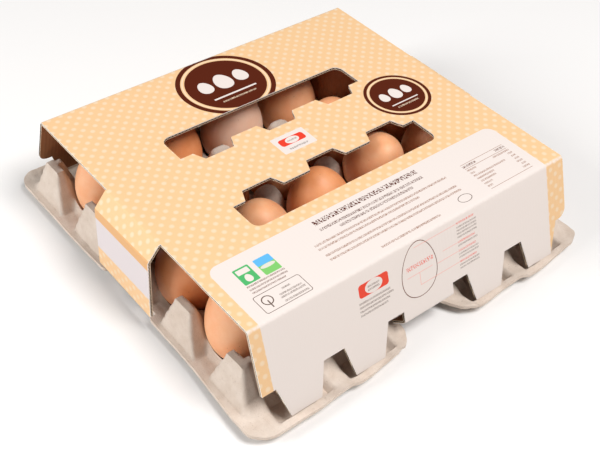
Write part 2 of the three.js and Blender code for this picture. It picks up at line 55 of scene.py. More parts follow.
Point = tuple[float, float]
Row = tuple[float, float, float]
Wire = Union[bpy.types.Node, bpy.types.NodeSocket]
Value = Union[float, int, bool, str, Sequence[float], bpy.types.ID, Wire]
Inputs = Union[Sequence[Value], dict[Union[str, int], Value]]
Adder = Callable[..., bpy.types.Node]


# ---------------------------------------------------------------------------
# Colour, node and mesh helpers
# ---------------------------------------------------------------------------


def srgb(hex_colour: str) -> tuple[float, ...]:
    """Turns an sRGB hex colour into the linear values that shaders use.

    Args:
        hex_colour: a colour such as "#FBD09C".

    Returns:
        Linear red, green and blue, and 1 for alpha.
    """
    channels = [int(hex_colour[i : i + 2], 16) / 255 for i in (1, 3, 5)]
    return (*(c / 12.92 if c <= 0.04045 else ((c + 0.055) / 1.055) ** 2.4 for c in channels), 1.0)


def wire(node: bpy.types.Node, inputs: Inputs) -> None:
    """Sets or links a node's inputs.

    Args:
        node: a node of a shader or geometry tree.
        inputs: values in order, or by name or number. A socket is linked, and a node stands for its
            first output in use.
    """
    for key, value in inputs.items() if isinstance(inputs, dict) else enumerate(inputs):
        if isinstance(value, bpy.types.Node):
            value = next(output for output in value.outputs if output.enabled)
        if isinstance(value, bpy.types.NodeSocket):
            node.id_data.links.new(value, node.inputs[key])
        else:
            node.inputs[key].default_value = value


def add_node(tree: bpy.types.NodeTree, kind: str, inputs: Inputs = (), **settings: object) -> bpy.types.Node:
    """Adds a node, sets its properties, and sets or links its inputs.

    Args:
        tree: the shader or geometry tree.
        kind: the node's type name. Without "Node" in it, it is a shader node's.
        inputs: as wire takes them.
        **settings: the node's own properties.

    Returns:
        The new node.
    """
    node = tree.nodes.new(kind if "Node" in kind else f"ShaderNode{kind}")
    for name, value in settings.items():
        setattr(node, name, value)
    wire(node, inputs)
    return node


def chain(add: Adder, kind: str, value: Value, *steps: tuple) -> Wire:
    """Adds nodes that each work on what the one before gives.

    Args:
        add: add_node for one tree.
        kind: their kind, one that has operations.
        value: what the first one takes.
        *steps: each node's operation, and its further inputs.

    Returns:
        The last node.
    """
    for operation, *more in steps:
        value = add(kind, (value, *more), operation=operation)
    return value


def start_material(name: str) -> tuple[bpy.types.Material, Adder]:
    """Starts a material of nodes, and gives it and add_node for its tree.

    Args:
        name: the material's name.

    Returns:
        The material, and add_node for its tree.
    """
    material = bpy.data.materials.new(name)
    material.use_nodes = True
    return material, partial(add_node, material.node_tree)


def end_material(material: bpy.types.Material, inputs: Inputs) -> bpy.types.Material:
    """Sets or links the inputs of a material's shader, and gives the material back."""
    wire(material.node_tree.nodes["Principled BSDF"], inputs)
    return material


def start_tree(name: str, sockets: dict[str, str], output: str) -> tuple[bpy.types.NodeTree, Adder]:
    """Starts a Geometry Nodes tree.

    Args:
        name: the tree's name.
        sockets: the kind of each input, by its name.
        output: the name of the geometry that it gives.

    Returns:
        The tree, and add_node for it.
    """
    tree = bpy.data.node_groups.new(name, "GeometryNodeTree")
    for label, kind in sockets.items():
        tree.interface.new_socket(name=label, in_out="INPUT", socket_type=f"NodeSocket{kind}")
    tree.interface.new_socket(name=output, in_out="OUTPUT", socket_type="NodeSocketGeometry")
    return tree, partial(add_node, tree)


def end_tree(add: Adder, shape: Wire, material: Value, output: str) -> None:
    """Ends a tree in Realize Instances, Set Material and its output.

    Args:
        add: add_node for the tree.
        shape: the geometry that it gives.
        material: its material, or a socket that gives it.
        output: the name of the tree's output.
    """
    real = add("GeometryNodeRealizeInstances", (shape,))
    dressed = add("GeometryNodeSetMaterial", {"Geometry": real, "Material": material})
    add("NodeGroupOutput", {output: dressed})


def link_object(name: str, data: Optional[bpy.types.ID]) -> bpy.types.Object:
    """Makes an object of some data and links it to the scene.

    Args:
        name: the object's name.
        data: its mesh, light or camera.

    Returns:
        The object.
    """
    thing = bpy.data.objects.new(name, data)
    bpy.context.scene.collection.objects.link(thing)
    return thing


def make_mesh(
    name: str,
    corners: np.ndarray,
    faces: Sequence[Sequence[int]],
    materials: Sequence[bpy.types.Material],
    face_materials: Optional[Sequence[int]] = None,
    sharp_degrees: float = 35.0,
) -> bpy.types.Object:
    """Makes an object from corners in millimetres and faces.

    Args:
        name: the object's name.
        corners: an array of [x, y, z] rows, in millimetres.
        faces: corner numbers of each face.
        materials: the object's material slots.
        face_materials: the slot of each face; all 0 if left out.
        sharp_degrees: edges that bend more than this are shaded sharp.

    Returns:
        The object, linked to the scene, at the origin.
    """
    mesh = bpy.data.meshes.new(name)
    mesh.from_pydata((np.asarray(corners, float) * MM).tolist(), [], [list(map(int, f)) for f in faces])
    for material in materials:
        mesh.materials.append(material)
    if face_materials is not None:
        mesh.polygons.foreach_set("material_index", np.asarray(face_materials, np.int32))
    mesh.shade_smooth()
    mesh.set_sharp_from_angle(angle=math.radians(sharp_degrees))
    mesh.validate()
    mesh.update()
    return link_object(name, mesh)


def settle(thing: bpy.types.Object, slot: str, *nodes: str) -> None:
    """Hands a finished piece to the frame.

    Args:
        thing: the finished mesh object.
        slot: not used.
        *nodes: the CAD nodes that it stands for.
    """
    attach(thing, BODY)
    if nodes:
        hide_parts(*nodes)
    LOG.info("%s: %d faces", thing.name, len(thing.data.polygons))


def baked(
    source: bpy.types.Object,
    name: str,
    tree: Optional[bpy.types.NodeTree] = None,
    inputs: Optional[dict[str, object]] = None,
) -> bpy.types.Object:
    """Turns what an object's modifiers make into a plain mesh object.

    Args:
        source: the object; it is removed.
        name: the new object's name.
        tree: a Geometry Nodes tree to put on it first.
        inputs: the tree's inputs, by name.

    Returns:
        The plain mesh object.
    """
    if tree:
        modifier = source.modifiers.new(tree.name, "NODES")
        modifier.node_group = tree
        for socket in tree.interface.items_tree:
            if socket.name in inputs:
                modifier[socket.identifier] = inputs[socket.name]
    graph = bpy.context.evaluated_depsgraph_get()
    mesh = bpy.data.meshes.new_from_object(source.evaluated_get(graph))
    mesh.name = name
    bpy.data.objects.remove(source)
    return link_object(name, mesh)


def smooth_min(a: np.ndarray, b: Union[np.ndarray, float], blend: float) -> np.ndarray:
    """The lower of two height fields, with the crease between them rounded over a width."""
    share = np.clip(0.5 + 0.5 * (b - a) / blend, 0, 1)
    return b * (1 - share) + a * share - blend * share * (1 - share)


def smooth_max(a: np.ndarray, b: Union[np.ndarray, float], blend: float) -> np.ndarray:
    """The higher of two height fields, with the crease between them rounded over a width."""
    return -smooth_min(-a, -b, blend)


def ripple(x: np.ndarray, y: np.ndarray, length: float, seed: int, waves: int = 9) -> np.ndarray:
    """An even, natural unevenness from a few waves in many directions.

    Args:
        x: across, in millimetres.
        y: along, in millimetres.
        length: the usual distance between two crests.
        seed: makes it repeatable.
        waves: how many are added.

    Returns:
        Values of about -1 to 1.
    """
    random = np.random.default_rng(seed)
    total = np.zeros_like(x, dtype=float)
    for _ in range(waves):
        turn = random.uniform(0, 2 * math.pi)
        pitch = length * random.uniform(0.6, 1.7)
        wave = 2 * math.pi * (x * math.cos(turn) + y * math.sin(turn)) / pitch
        total += np.sin(wave + random.uniform(0, 6.3))
    return total / math.sqrt(waves)


# ---------------------------------------------------------------------------
# Finishes
# ---------------------------------------------------------------------------


@dataclass(frozen=True)
class MouldedPulp:
    """Waste-paper pulp, sucked wet onto a mesh mould and dried: matt, felted and flecked with fibres."""

    name: str = "moulded_paper_pulp"
    light: str = "#DCCEC1"
    dark: str = "#CEBDAE"
    fleck: str = "#988270"
    roughness: float = 0.95
    cloud_mm: float = 9.0
    felt_mm: float = 1.1  # matted fibres, drawn coarser than real ones so that they show
    fleck_mm: float = 1.6  # scraps of printed waste, drawn coarser for the same reason

    def build(self) -> bpy.types.Material:
        """Makes the material: cloudy colour, fine flecks and a felted bump.

        Returns:
            The material.
        """
        material, add = start_material(self.name)
        place = add("TexCoord").outputs["Object"]
        grains = ((self.cloud_mm, 4.0, 0.6), (self.fleck_mm, 3.0, 0.75), (self.felt_mm, 5.0, 0.65))
        cloud, specks, felt = (
            add("TexNoise", {"Vector": place, "Scale": 1 / (size * MM), "Detail": detail, "Roughness": rough})
            for size, detail, rough in grains
        )
        tone = add("MapRange", (cloud, 0.3, 0.7))
        ground = add("Mix", {0: tone, 6: srgb(self.dark), 7: srgb(self.light)}, data_type="RGBA")
        share = add("MapRange", (specks, 0.6, 0.74, 0.0, 0.45))
        flecked = add("Mix", {0: share, 6: ground, 7: srgb(self.fleck)}, data_type="RGBA")
        bump = add("Bump", {"Height": felt, "Strength": 0.55, "Distance": 0.5 * MM})
        looks = {"Base Color": flecked, "Normal": bump, "Roughness": self.roughness, "IOR": 1.45}
        return end_material(material, {**looks, "Specular IOR Level": 0.25})


@dataclass(frozen=True)
class Eggshell:
    """A brown hen's eggshell: calcite with a thin bloom, satin, finely pored and a little cloudy."""

    name: str
    shell: str
    cloud: str
    speck: str = "#8A4A22"
    roughness: float = 0.52
    pore_mm: float = 0.7  # real pores are far finer, and are drawn coarse enough to show
    cloud_mm: float = 14.0
    speck_mm: float = 2.4

    def build(self) -> bpy.types.Material:
        """Makes the material: a soft cloudy pigment, a few specks and fine pores.

        Returns:
            The material.
        """
        material, add = start_material(self.name)
        place = add("TexCoord").outputs["Object"]
        cloud, pores = (
            add("TexNoise", {"Vector": place, "Scale": 1 / (size * MM), "Detail": detail, "Roughness": rough})
            for size, detail, rough in ((self.cloud_mm, 5.0, 0.6), (self.pore_mm, 2.0, 0.5))
        )
        tone = add("MapRange", (cloud, 0.35, 0.7))
        ground = add("Mix", {0: tone, 6: srgb(self.shell), 7: srgb(self.cloud)}, data_type="RGBA")
        cells = add("TexVoronoi", {"Vector": place, "Scale": 1 / (self.speck_mm * MM)})
        rare = add("SeparateColor", (cells.outputs["Color"],))
        chosen = chain(add, "Math", rare, ("GREATER_THAN", 0.86))
        small = add("MapRange", (cells, 0.16, 0.06, 0.0, 0.5))
        share = chain(add, "Math", small, ("MULTIPLY", chosen))
        specked = add("Mix", {0: share, 6: ground, 7: srgb(self.speck)}, data_type="RGBA")
        bump = add("Bump", {"Height": pores, "Strength": 0.12, "Distance": 0.15 * MM})
        return end_material(material, {
            "Base Color": specked, "Normal": bump, "Roughness": self.roughness, "IOR": 1.5,
            "Specular IOR Level": 0.6, "Subsurface Weight": 0.12, "Subsurface Radius": (1.0, 0.45, 0.2),
            "Subsurface Scale": 1.5 * MM,
        })


@dataclass(frozen=True)
class KraftLiner:
    """Uncoated brown kraft paper, the board's inner face: matt, with faint stripes over the flutes."""

    name: str = "kraft_liner_paper"
    paper: str = "#9A6A48"
    stripe: str = "#845638"
    flute_mm: float = 2.6
    fibre_mm: float = 2.5  # clumps of fibres; single ones are too fine to show
    roughness: float = 0.9

    def build(self) -> bpy.types.Material:
        """Makes the material: brown paper, striped across X at the flutes' pitch.

        Returns:
            The material.
        """
        material, add = start_material(self.name)
        place = add("TexCoord").outputs["Object"]
        across = add("SeparateXYZ", (place,))
        wave = chain(add, "Math", across, ("MULTIPLY", 2 * math.pi / (self.flute_mm * MM)), ("SINE",))
        fibre = add(
            "TexNoise", {"Vector": place, "Scale": 1 / (self.fibre_mm * MM), "Detail": 5.0, "Roughness": 0.7}
        )
        stripe = add("MapRange", (wave, -1.0, 1.0, 0.0, 0.6))
        share = chain(add, "Math", stripe, ("MULTIPLY", fibre))
        colour = add("Mix", {0: share, 6: srgb(self.paper), 7: srgb(self.stripe)}, data_type="RGBA")
        bump = add("Bump", {"Height": wave, "Strength": 0.25, "Distance": 0.08 * MM})
        looks = {"Base Color": colour, "Normal": bump, "Roughness": self.roughness}
        return end_material(material, {**looks, "Specular IOR Level": 0.2})


@dataclass(frozen=True)
class PlainPaper:
    """Paper seen only on cut edges and inside the flutes: one fibre-mottled colour, matt."""

    name: str
    paper: str
    shade: str
    fibre_mm: float = 0.8  # clumps of fibres; single ones are too fine to show
    roughness: float = 0.9

    def build(self) -> bpy.types.Material:
        """Makes the material: paper mottled at the size of its fibres.

        Returns:
            The material.
        """
        material, add = start_material(self.name)
        place = add("TexCoord").outputs["Object"]
        fibre = add(
            "TexNoise", {"Vector": place, "Scale": 1 / (self.fibre_mm * MM), "Detail": 4.0, "Roughness": 0.7}
        )
        colour = add("Mix", {0: fibre, 6: srgb(self.paper), 7: srgb(self.shade)}, data_type="RGBA")
        looks = {"Base Color": colour, "Roughness": self.roughness, "Specular IOR Level": 0.2}
        return end_material(material, looks)


class Ink(Enum):
    """The press's inks, as they look on the coated white liner, and one brown that is painted shade."""

    PEACH = "#E9C192"
    AMBER = "#DEAC77"
    CREAM = "#EAD5B9"
    WHITE = "#E3D9D3"
    # Not an ink the press lays: painted shade, laid thinly over the long panels so they read darker than the
    # top.
    SHADE = "#7C6650"
    MAUVE = "#D8CFD0"
    CHOCOLATE = "#551E0A"
    TEXT = "#63301C"
    FINE = "#93644C"
    GREY = "#6A5850"
    RED = "#E2402C"
    PINK = "#EFA79C"
    GREEN = "#4FB06A"
    LEAF = "#7CC36A"
    BLUE = "#5FB2E6"


class Press:
    """Lays flat inks over each other on the board's net. All places are millimetres on the net."""

    def __init__(self, add: Adder, net: Wire, ground: Ink) -> None:
        """Starts a print.

        Args:
            add: add_node for the material's tree.
            net: the point of the net that is shaded, in millimetres.
            ground: the ink that covers the whole sheet.
        """
        self.add = add
        self.net = net
        self.colour: Value = srgb(ground.value)
        self.letters: dict[float, Wire] = {}

    def within(self, vector: Wire, radius: float) -> Wire:
        """1 where a vector is shorter than a radius."""
        length = chain(self.add, "VectorMath", vector, ("LENGTH",))
        return chain(self.add, "Math", length, ("LESS_THAN", radius))

    def disc(self, centre: Point, radius: float, squash: float = 1.0) -> Wire:
        """1 inside a disc, or inside an oval whose height is squash times its width.

        Args:
            centre: its middle.
            radius: half its width.
            squash: its height over its width.

        Returns:
            The mask.
        """
        steps = [("SUBTRACT", (*centre, 0.0))]
        if squash != 1.0:
            steps.append(("MULTIPLY", (1.0, 1 / squash, 0.0)))
        return self.within(chain(self.add, "VectorMath", self.net, *steps), radius)

    def plate(self, low: Point, high: Point, radius: float = 0.05) -> Wire:
        """1 inside a rectangle with rounded corners.

        Args:
            low: its lowest corner.
            high: its highest corner.
            radius: of its corners.

        Returns:
            The mask.
        """
        centre = ((low[0] + high[0]) / 2, (low[1] + high[1]) / 2, 0.0)
        half = ((high[0] - low[0]) / 2 - radius, (high[1] - low[1]) / 2 - radius, 1.0)
        over = chain(
            self.add, "VectorMath", self.net,
            ("SUBTRACT", centre), ("ABSOLUTE",), ("SUBTRACT", half), ("MAXIMUM", (0.0, 0.0, 0.0)),
        )
        return self.within(over, radius)

    def egg(self, centre: Point, half_width: float, half_height: float) -> Wire:
        """1 inside an egg outline that is narrower at its top.

        Args:
            centre: the middle of its height and width.
            half_width: of its middle.
            half_height: of the whole.

        Returns:
            The mask.
        """
        unit = chain(
            self.add, "VectorMath", self.net,
            ("SUBTRACT", (*centre, 0.0)), ("MULTIPLY", (1 / half_width, 1 / half_height, 0.0)),
        )
        x, y, _ = self.add("SeparateXYZ", (unit,)).outputs
        wide = chain(self.add, "Math", y, ("MULTIPLY_ADD", 0.17, 1.0), ("MULTIPLY", x))
        return self.within(self.add("CombineXYZ", (wide, y)), 1.0)

    def without(self, outside: Wire, inside: Wire) -> Wire:
        """The part of one mask that another leaves."""
        return chain(self.add, "Math", outside, ("SUBTRACT", inside), ("MAXIMUM", 0.0))

    def dots(self, origin: Point, pitch: float, radius: float) -> Wire:
        """Staggered polka dots: one square lattice and a second in the middles of the first.

        Args:
            origin: the middle of one dot.
            pitch: between dots of one lattice.
            radius: of a dot.

        Returns:
            The mask, soft at its edges as halftone is.
        """
        soft = 0.55
        scaled = chain(
            self.add, "VectorMath", self.net, ("SUBTRACT", (*origin, 0.0)), ("MULTIPLY", (1 / pitch,) * 3)
        )
        lattices = [
            chain(
                self.add, "VectorMath", scaled,
                ("ADD", (start, start, 0.5)), ("FRACTION",), ("SUBTRACT", (0.5, 0.5, 0.5)), ("LENGTH",),
            )
            for start in (0.5, 1.0)
        ]
        nearest = self.add("Math", lattices, operation="MINIMUM")
        return self.add("MapRange", (nearest, (radius + soft) / pitch, (radius - soft) / pitch))

    def lettering(self, pitch: float) -> Wire:
        """Slanting strokes and gaps that break a bar up as letters and words do, without forming any.

        Args:
            pitch: between strokes.

        Returns:
            The mask.
        """
        if pitch not in self.letters:
            sheared = chain(self.add, "VectorMath", self.net, ("DOT_PRODUCT", (1 / pitch, 0.3 / pitch, 0.0)))
            wobble = self.add("TexNoise", {"Vector": self.net, "Scale": 0.9 / pitch, "Detail": 1.0})
            steps = (("MULTIPLY", 2.4), ("ADD", sheared), ("FRACT",), ("SUBTRACT", 0.5), ("ABSOLUTE",))
            strokes = self.add("MapRange", (chain(self.add, "Math", wobble, *steps), 0.34, 0.2))
            shrunk = chain(self.add, "VectorMath", self.net, ("MULTIPLY", (0.42 / pitch, 0.6 / pitch, 1.0)))
            words = self.add("TexNoise", {"Vector": shrunk, "Detail": 0.0})
            spaces = self.add("MapRange", (words, 0.36, 0.42))
            self.letters[pitch] = chain(self.add, "Math", strokes, ("MULTIPLY", spaces))
        return self.letters[pitch]

    def ink(self, mask: Wire, ink: Ink, strength: float = 1.0) -> None:
        """Lays an ink over the print wherever a mask is 1.

        Args:
            mask: where it goes.
            ink: which one.
            strength: how much of it covers.
        """
        if strength != 1.0:
            mask = chain(self.add, "Math", mask, ("MULTIPLY", strength))
        self.colour = self.add("Mix", {0: mask, 6: self.colour, 7: srgb(ink.value)}, data_type="RGBA")

    def text(self, rows: Sequence[Row], height: float, ink: Ink, strength: float = 1.0) -> None:
        """Prints rows of short strokes that stand for lines of text.

        Args:
            rows: each row's start, end and middle height.
            height: of a row, from which the strokes take their pitch.
            ink: which one.
            strength: how much of it covers.
        """
        bars = [self.plate((start, y - height / 2), (end, y + height / 2)) for start, end, y in rows]
        letters = self.lettering(0.65 if height < 1.6 else 0.55 * height)
        steps = [*(("MAXIMUM", bar) for bar in bars[1:]), ("MULTIPLY", letters)]
        self.ink(chain(self.add, "Math", bars[0], *steps), ink, strength)


@dataclass(frozen=True)
class PrintedLiner:
    """White-coated liner paper, printed and sealed: satin, smooth, with a trace of the flutes under it."""

    name: str = "printed_coated_liner"
    roughness: float = 0.5
    flute_mm: float = 2.6
    dot_origin: Point = (-95.2, 14.1)
    dot_pitch: float = 8.72
    dot_radius: float = 1.5
    dot_cover: float = 0.72
    label_low: Point = (-118.0, -190.0)
    label_high: Point = (110.2, -62.0)
    label_radius: float = 7.0
    strip_low: float = 139.4
    band_low: float = 146.8
    band_high: float = 170.4
    band_skew: float = 0.02
    # painted shade: how much darker the long panels are drawn than the top
    panel_painted_shade: float = 0.11

    def build(self, panel_start: float, fold: float) -> bpy.types.Material:
        """Makes the material.

        Args:
            panel_start: where the long panels begin on the net, past the top's rounded fold.
            fold: the middle of that fold, along the net.

        Returns:
            The material, which reads the mesh's own UV map "net", in metres.
        """
        material, add = start_material(self.name)
        net = add("VectorMath", {0: add("UVMap", uv_map="net"), "Scale": 1 / MM}, operation="SCALE")
        across, along, _ = add("SeparateXYZ", (net,)).outputs
        press = Press(add, net, Ink.PEACH)
        press.ink(press.dots(self.dot_origin, self.dot_pitch, self.dot_radius), Ink.CREAM, self.dot_cover)
        self.print_badges(press)
        self.print_seal(press)
        self.print_flap_band(press, across, along)
        press.ink(press.plate(self.label_low, self.label_high, self.label_radius), Ink.WHITE)
        self.print_label(press)
        self.print_table(press)
        self.print_front(press, panel_start)
        self.age(press, along, panel_start, fold)
        grain = add("TexNoise", {"Vector": net, "Scale": 0.9, "Detail": 4.0, "Roughness": 0.6})
        turns = ("MULTIPLY", 2 * math.pi / self.flute_mm)
        height = chain(add, "Math", across, turns, ("SINE",), ("MULTIPLY", 0.35), ("ADD", grain))
        bump = add("Bump", {"Height": height, "Strength": 0.16, "Distance": 0.1 * MM})
        looks = {"Base Color": press.colour, "Normal": bump, "Roughness": self.roughness, "IOR": 1.5}
        return end_material(material, {**looks, "Specular IOR Level": 0.15})

    def print_badges(self, press: Press) -> None:
        """Two round badges with a ring, each with plain egg shapes in place of lettering.

        Args:
            press: the print.
        """
        for (x, y), radius in (((-3.2, 78.2), 34.6), ((85.0, -0.2), 23.4)):
            shares = (1.0, 0.9, 0.876, 0.852, 0.82)
            rim, ring, gap, line, inner = (press.disc((x, y), share * radius) for share in shares)
            press.ink(rim, Ink.CHOCOLATE)
            press.ink(ring, Ink.PEACH)
            press.ink(press.without(gap, line), Ink.CREAM)
            press.ink(inner, Ink.CHOCOLATE)
            for step in (-1, 0, 1):
                half = 0.15 * radius if step else 0.19 * radius
                spot = (x + step * 0.42 * radius, y + 0.1 * radius)
                press.ink(press.egg(spot, half, 1.32 * half), Ink.WHITE)
            low, half = y - 0.36 * radius, 0.5 * radius
            press.ink(press.plate((x - half, low), (x + half, low + 0.045 * radius)), Ink.WHITE)
            press.text([(x - 0.4 * radius, x + 0.4 * radius, low - 0.12 * radius)], 1.6, Ink.CREAM)

    def print_seal(self, press: Press) -> None:
        """A small white panel between the windows, with a plain red stripe and one row of fine print.

        Args:
            press: the print.
        """
        press.ink(press.plate((-17.8, -7.4), (8.2, 10.0), 0.8), Ink.WHITE)
        press.ink(press.plate((-14.6, -0.6), (5.0, 6.4), 2.0), Ink.RED)
        press.ink(press.disc((-4.8, 2.9), 5.2, 0.62), Ink.WHITE)
        press.text([(-8.6, -1.0, 2.9)], 1.4, Ink.GREY)
        press.text([(-12.0, 2.6, -4.4)], 1.6, Ink.GREY)

    def print_flap_band(self, press: Press, across: Wire, along: Wire) -> None:
        """A plain strip and a pale band along each end flap's wall, askew as they came off the press.

        Args:
            press: the print.
            across: the shaded point's place across the net.
            along: its place along the net.
        """
        skew = chain(press.add, "Math", along, ("MULTIPLY", -self.band_skew))
        level = chain(press.add, "Math", across, ("ABSOLUTE",), ("ADD", skew))
        short = chain(press.add, "Math", level, ("LESS_THAN", self.band_high))
        for start, ink in ((self.strip_low, Ink.AMBER), (self.band_low, Ink.MAUVE)):
            press.ink(chain(press.add, "Math", level, ("GREATER_THAN", start), ("MULTIPLY", short)), ink)

    def print_label(self, press: Press) -> None:
        """The label's top half: marks and rows of text, as plain shapes and broken bars.

        Args:
            press: the print.
        """
        plates = (
            ((-106.6, -84.6), (-96.0, -71.2), 0.8, Ink.GREEN),
            ((-105.4, -76.4), (-97.2, -72.4), 0.5, Ink.WHITE),
            ((-92.4, -84.8), (-81.2, -71.2), 0.8, Ink.LEAF),
            ((-92.4, -77.0), (-81.2, -71.2), 0.8, Ink.BLUE),
            ((-103.8, -106.0), (-103.0, -100.0), 0.05, Ink.GREY),
        )
        for low, high, radius, ink in plates:
            press.ink(press.plate(low, high, radius), ink)
        press.ink(press.egg((-101.3, -80.4), 2.3, 3.0), Ink.WHITE)
        press.ink(press.disc((-86.8, -78.6), 5.0, 0.3), Ink.WHITE, 0.85)
        outer = press.plate((-109.6, -108.4), (-77.6, -94.0), 1.6)
        inner = press.plate((-109.2, -108.0), (-78.0, -94.4), 1.3)
        press.ink(press.without(outer, inner), Ink.GREY)
        for centre, outer, inner in (
            ((-103.4, -100.0), (3.6, 1.0), (2.9, 1.0)), ((45.0, -104.0), (5.4, 0.62), (4.9, 0.6)),
        ):
            press.ink(press.without(press.disc(centre, *outer), press.disc(centre, *inner)), Ink.GREY)
        press.text([(-107.0, -80.8, -86.2), (-107.0, -80.8, -88.8), (-107.0, -84.0, -91.4)], 1.3, Ink.TEXT)
        panel = [(-92.0, -86.0, -97.6), (-95.6, -80.4, -100.8)]
        panel += [(-96.4, -79.4, -103.0), (-96.0, -79.4, -106.2)]
        press.text(panel, 1.4, Ink.GREY)
        press.text([(-45.0, 38.0, -67.8)], 3.8, Ink.CHOCOLATE)
        press.text([(-45.0, 37.6, -74.0), (-33.0, 26.0, -77.8)], 2.2, Ink.CHOCOLATE, 0.9)
        body = [(-56.4, 49.6, -83.0), (-56.4, 23.0, -86.6), (-56.0, 49.0, -92.6), (-56.0, 49.0, -96.6)]
        press.text([*body, (-25.6, 22.0, -106.0)], 1.7, Ink.FINE)

    def print_table(self, press: Press) -> None:
        """A table on the label: two columns of broken bars between thin rules.

        Args:
            press: the print.
        """
        left, right, row, top = 64.6, 102.8, 3.0, -80.6
        press.text([(left, left + 11.5, top - 2.1), (right - 8.8, right, top - 2.1)], 2.0, Ink.TEXT)
        reach = (7.8, 3.8, 28.4, 15.0, 13.6, 7.2, 4.4)
        value = (14.8, 4.0, 4.0, 4.0, 5.0, 4.0, 6.0)
        for number, (name_mm, value_mm) in enumerate(zip(reach, value)):
            y = top - 6.2 - row * number
            press.text([(left, left + name_mm, y), (right - value_mm, right, y)], 1.5, Ink.FINE)
        for rule in (top, top - 4.3, top - 27.0):
            press.ink(press.plate((left, rule - 0.18), (right, rule + 0.18)), Ink.FINE, 0.8)

    def print_front(self, press: Press, panel_start: float) -> None:
        """The label's lower half, on the front panel: a mark, rows of text and an egg with call-out lines.

        Args:
            press: the print.
            panel_start: where the panel begins on the net; places below are counted down from it.
        """

        def rows(start: float, end: float, *drops: float) -> list[Row]:
            """Rows of text of one width, at distances down the front panel."""
            return [(start, end, -(panel_start + drop)) for drop in drops]

        def plate(left: float, low: float, right: float, high: float, radius: float = 0.05) -> Wire:
            """A rectangle between two distances down the front panel."""
            return press.plate((left, -(panel_start + low)), (right, -(panel_start + high)), radius)

        press.ink(plate(-51.0, 18.4, -28.4, 9.6, 2.0), Ink.RED)
        press.ink(press.disc((-39.7, -(panel_start + 14.0)), 6.6, 0.66), Ink.WHITE)
        press.text(rows(-44.2, -35.4, 13.2, 15.4), 1.3, Ink.GREY)
        ends = ((-28.0, 21.6), (-26.0, 24.2), (-29.0, 26.8), (-31.0, 29.4))
        press.text([row for end, drop in ends for row in rows(-52.0, end, drop)], 1.4, Ink.GREY)
        middle = (-4.6, -(panel_start + 20.4))
        press.ink(press.without(press.egg(middle, 14.2, 18.8), press.egg(middle, 13.7, 18.3)), Ink.TEXT)
        press.text(rows(-14.6, 7.0, 17.4), 3.0, Ink.RED, 0.8)
        callouts = ((-7.0, 5.2), (15.0, 18.0), (10.0, 24.0), (-4.6, 31.6))
        lines = [(start, drop + 0.2, 27.6, drop - 0.2) for start, drop in callouts]
        lines += [(-4.8, 31.6, -4.4, 23.0), (-14.6, 23.2, 6.0, 22.8)]
        for line in lines:
            press.ink(plate(*line), Ink.PINK, 0.8)
        press.text(rows(28.0, 43.0, 5.2, 18.0, 24.0, 31.6), 1.4, Ink.RED, 0.9)
        press.text(rows(28.0, 45.0, 8.0, 10.2, 12.4, 14.8, 20.4, 26.4, 28.6, 34.0, 36.2), 1.2, Ink.GREY, 0.9)

    def age(self, press: Press, along: Wire, panel_start: float, fold: float) -> None:
        """Paints shade on the long panels, and a pale fold line that is part crease wear, part painted
        highlight.

        Args:
            press: the print.
            along: the shaded point's place along the net.
            panel_start: where the long panels begin.
            fold: the middle of the fold above them.
        """
        out = chain(press.add, "Math", along, ("ABSOLUTE",))
        # Painted shade: the long panels are drawn darker than the top, as shade under the light from above.
        panel_shade_mask = press.add("MapRange", (out, panel_start - 1.0, panel_start + 1.0))
        press.ink(panel_shade_mask, Ink.SHADE, self.panel_painted_shade)
        # A pale line along the top fold: partly print rubbed pale by creasing, partly a painted highlight on
        # the rounded fold.
        wear_and_sheen_noise = press.add("TexNoise", {"Vector": press.net, "Scale": 0.5, "Detail": 4.0})
        wear_and_sheen_patches = press.add("MapRange", (wear_and_sheen_noise, 0.2, 0.6))
        away = chain(press.add, "Math", out, ("SUBTRACT", fold), ("ABSOLUTE",))
        fold_wear_and_highlight = press.add("MapRange", (away, 1.5, 0.4))
        press.ink(chain(press.add, "Math", fold_wear_and_highlight, ("MULTIPLY", wear_and_sheen_patches)), Ink.WHITE, 0.85)


# ---------------------------------------------------------------------------
# The tray
# ---------------------------------------------------------------------------


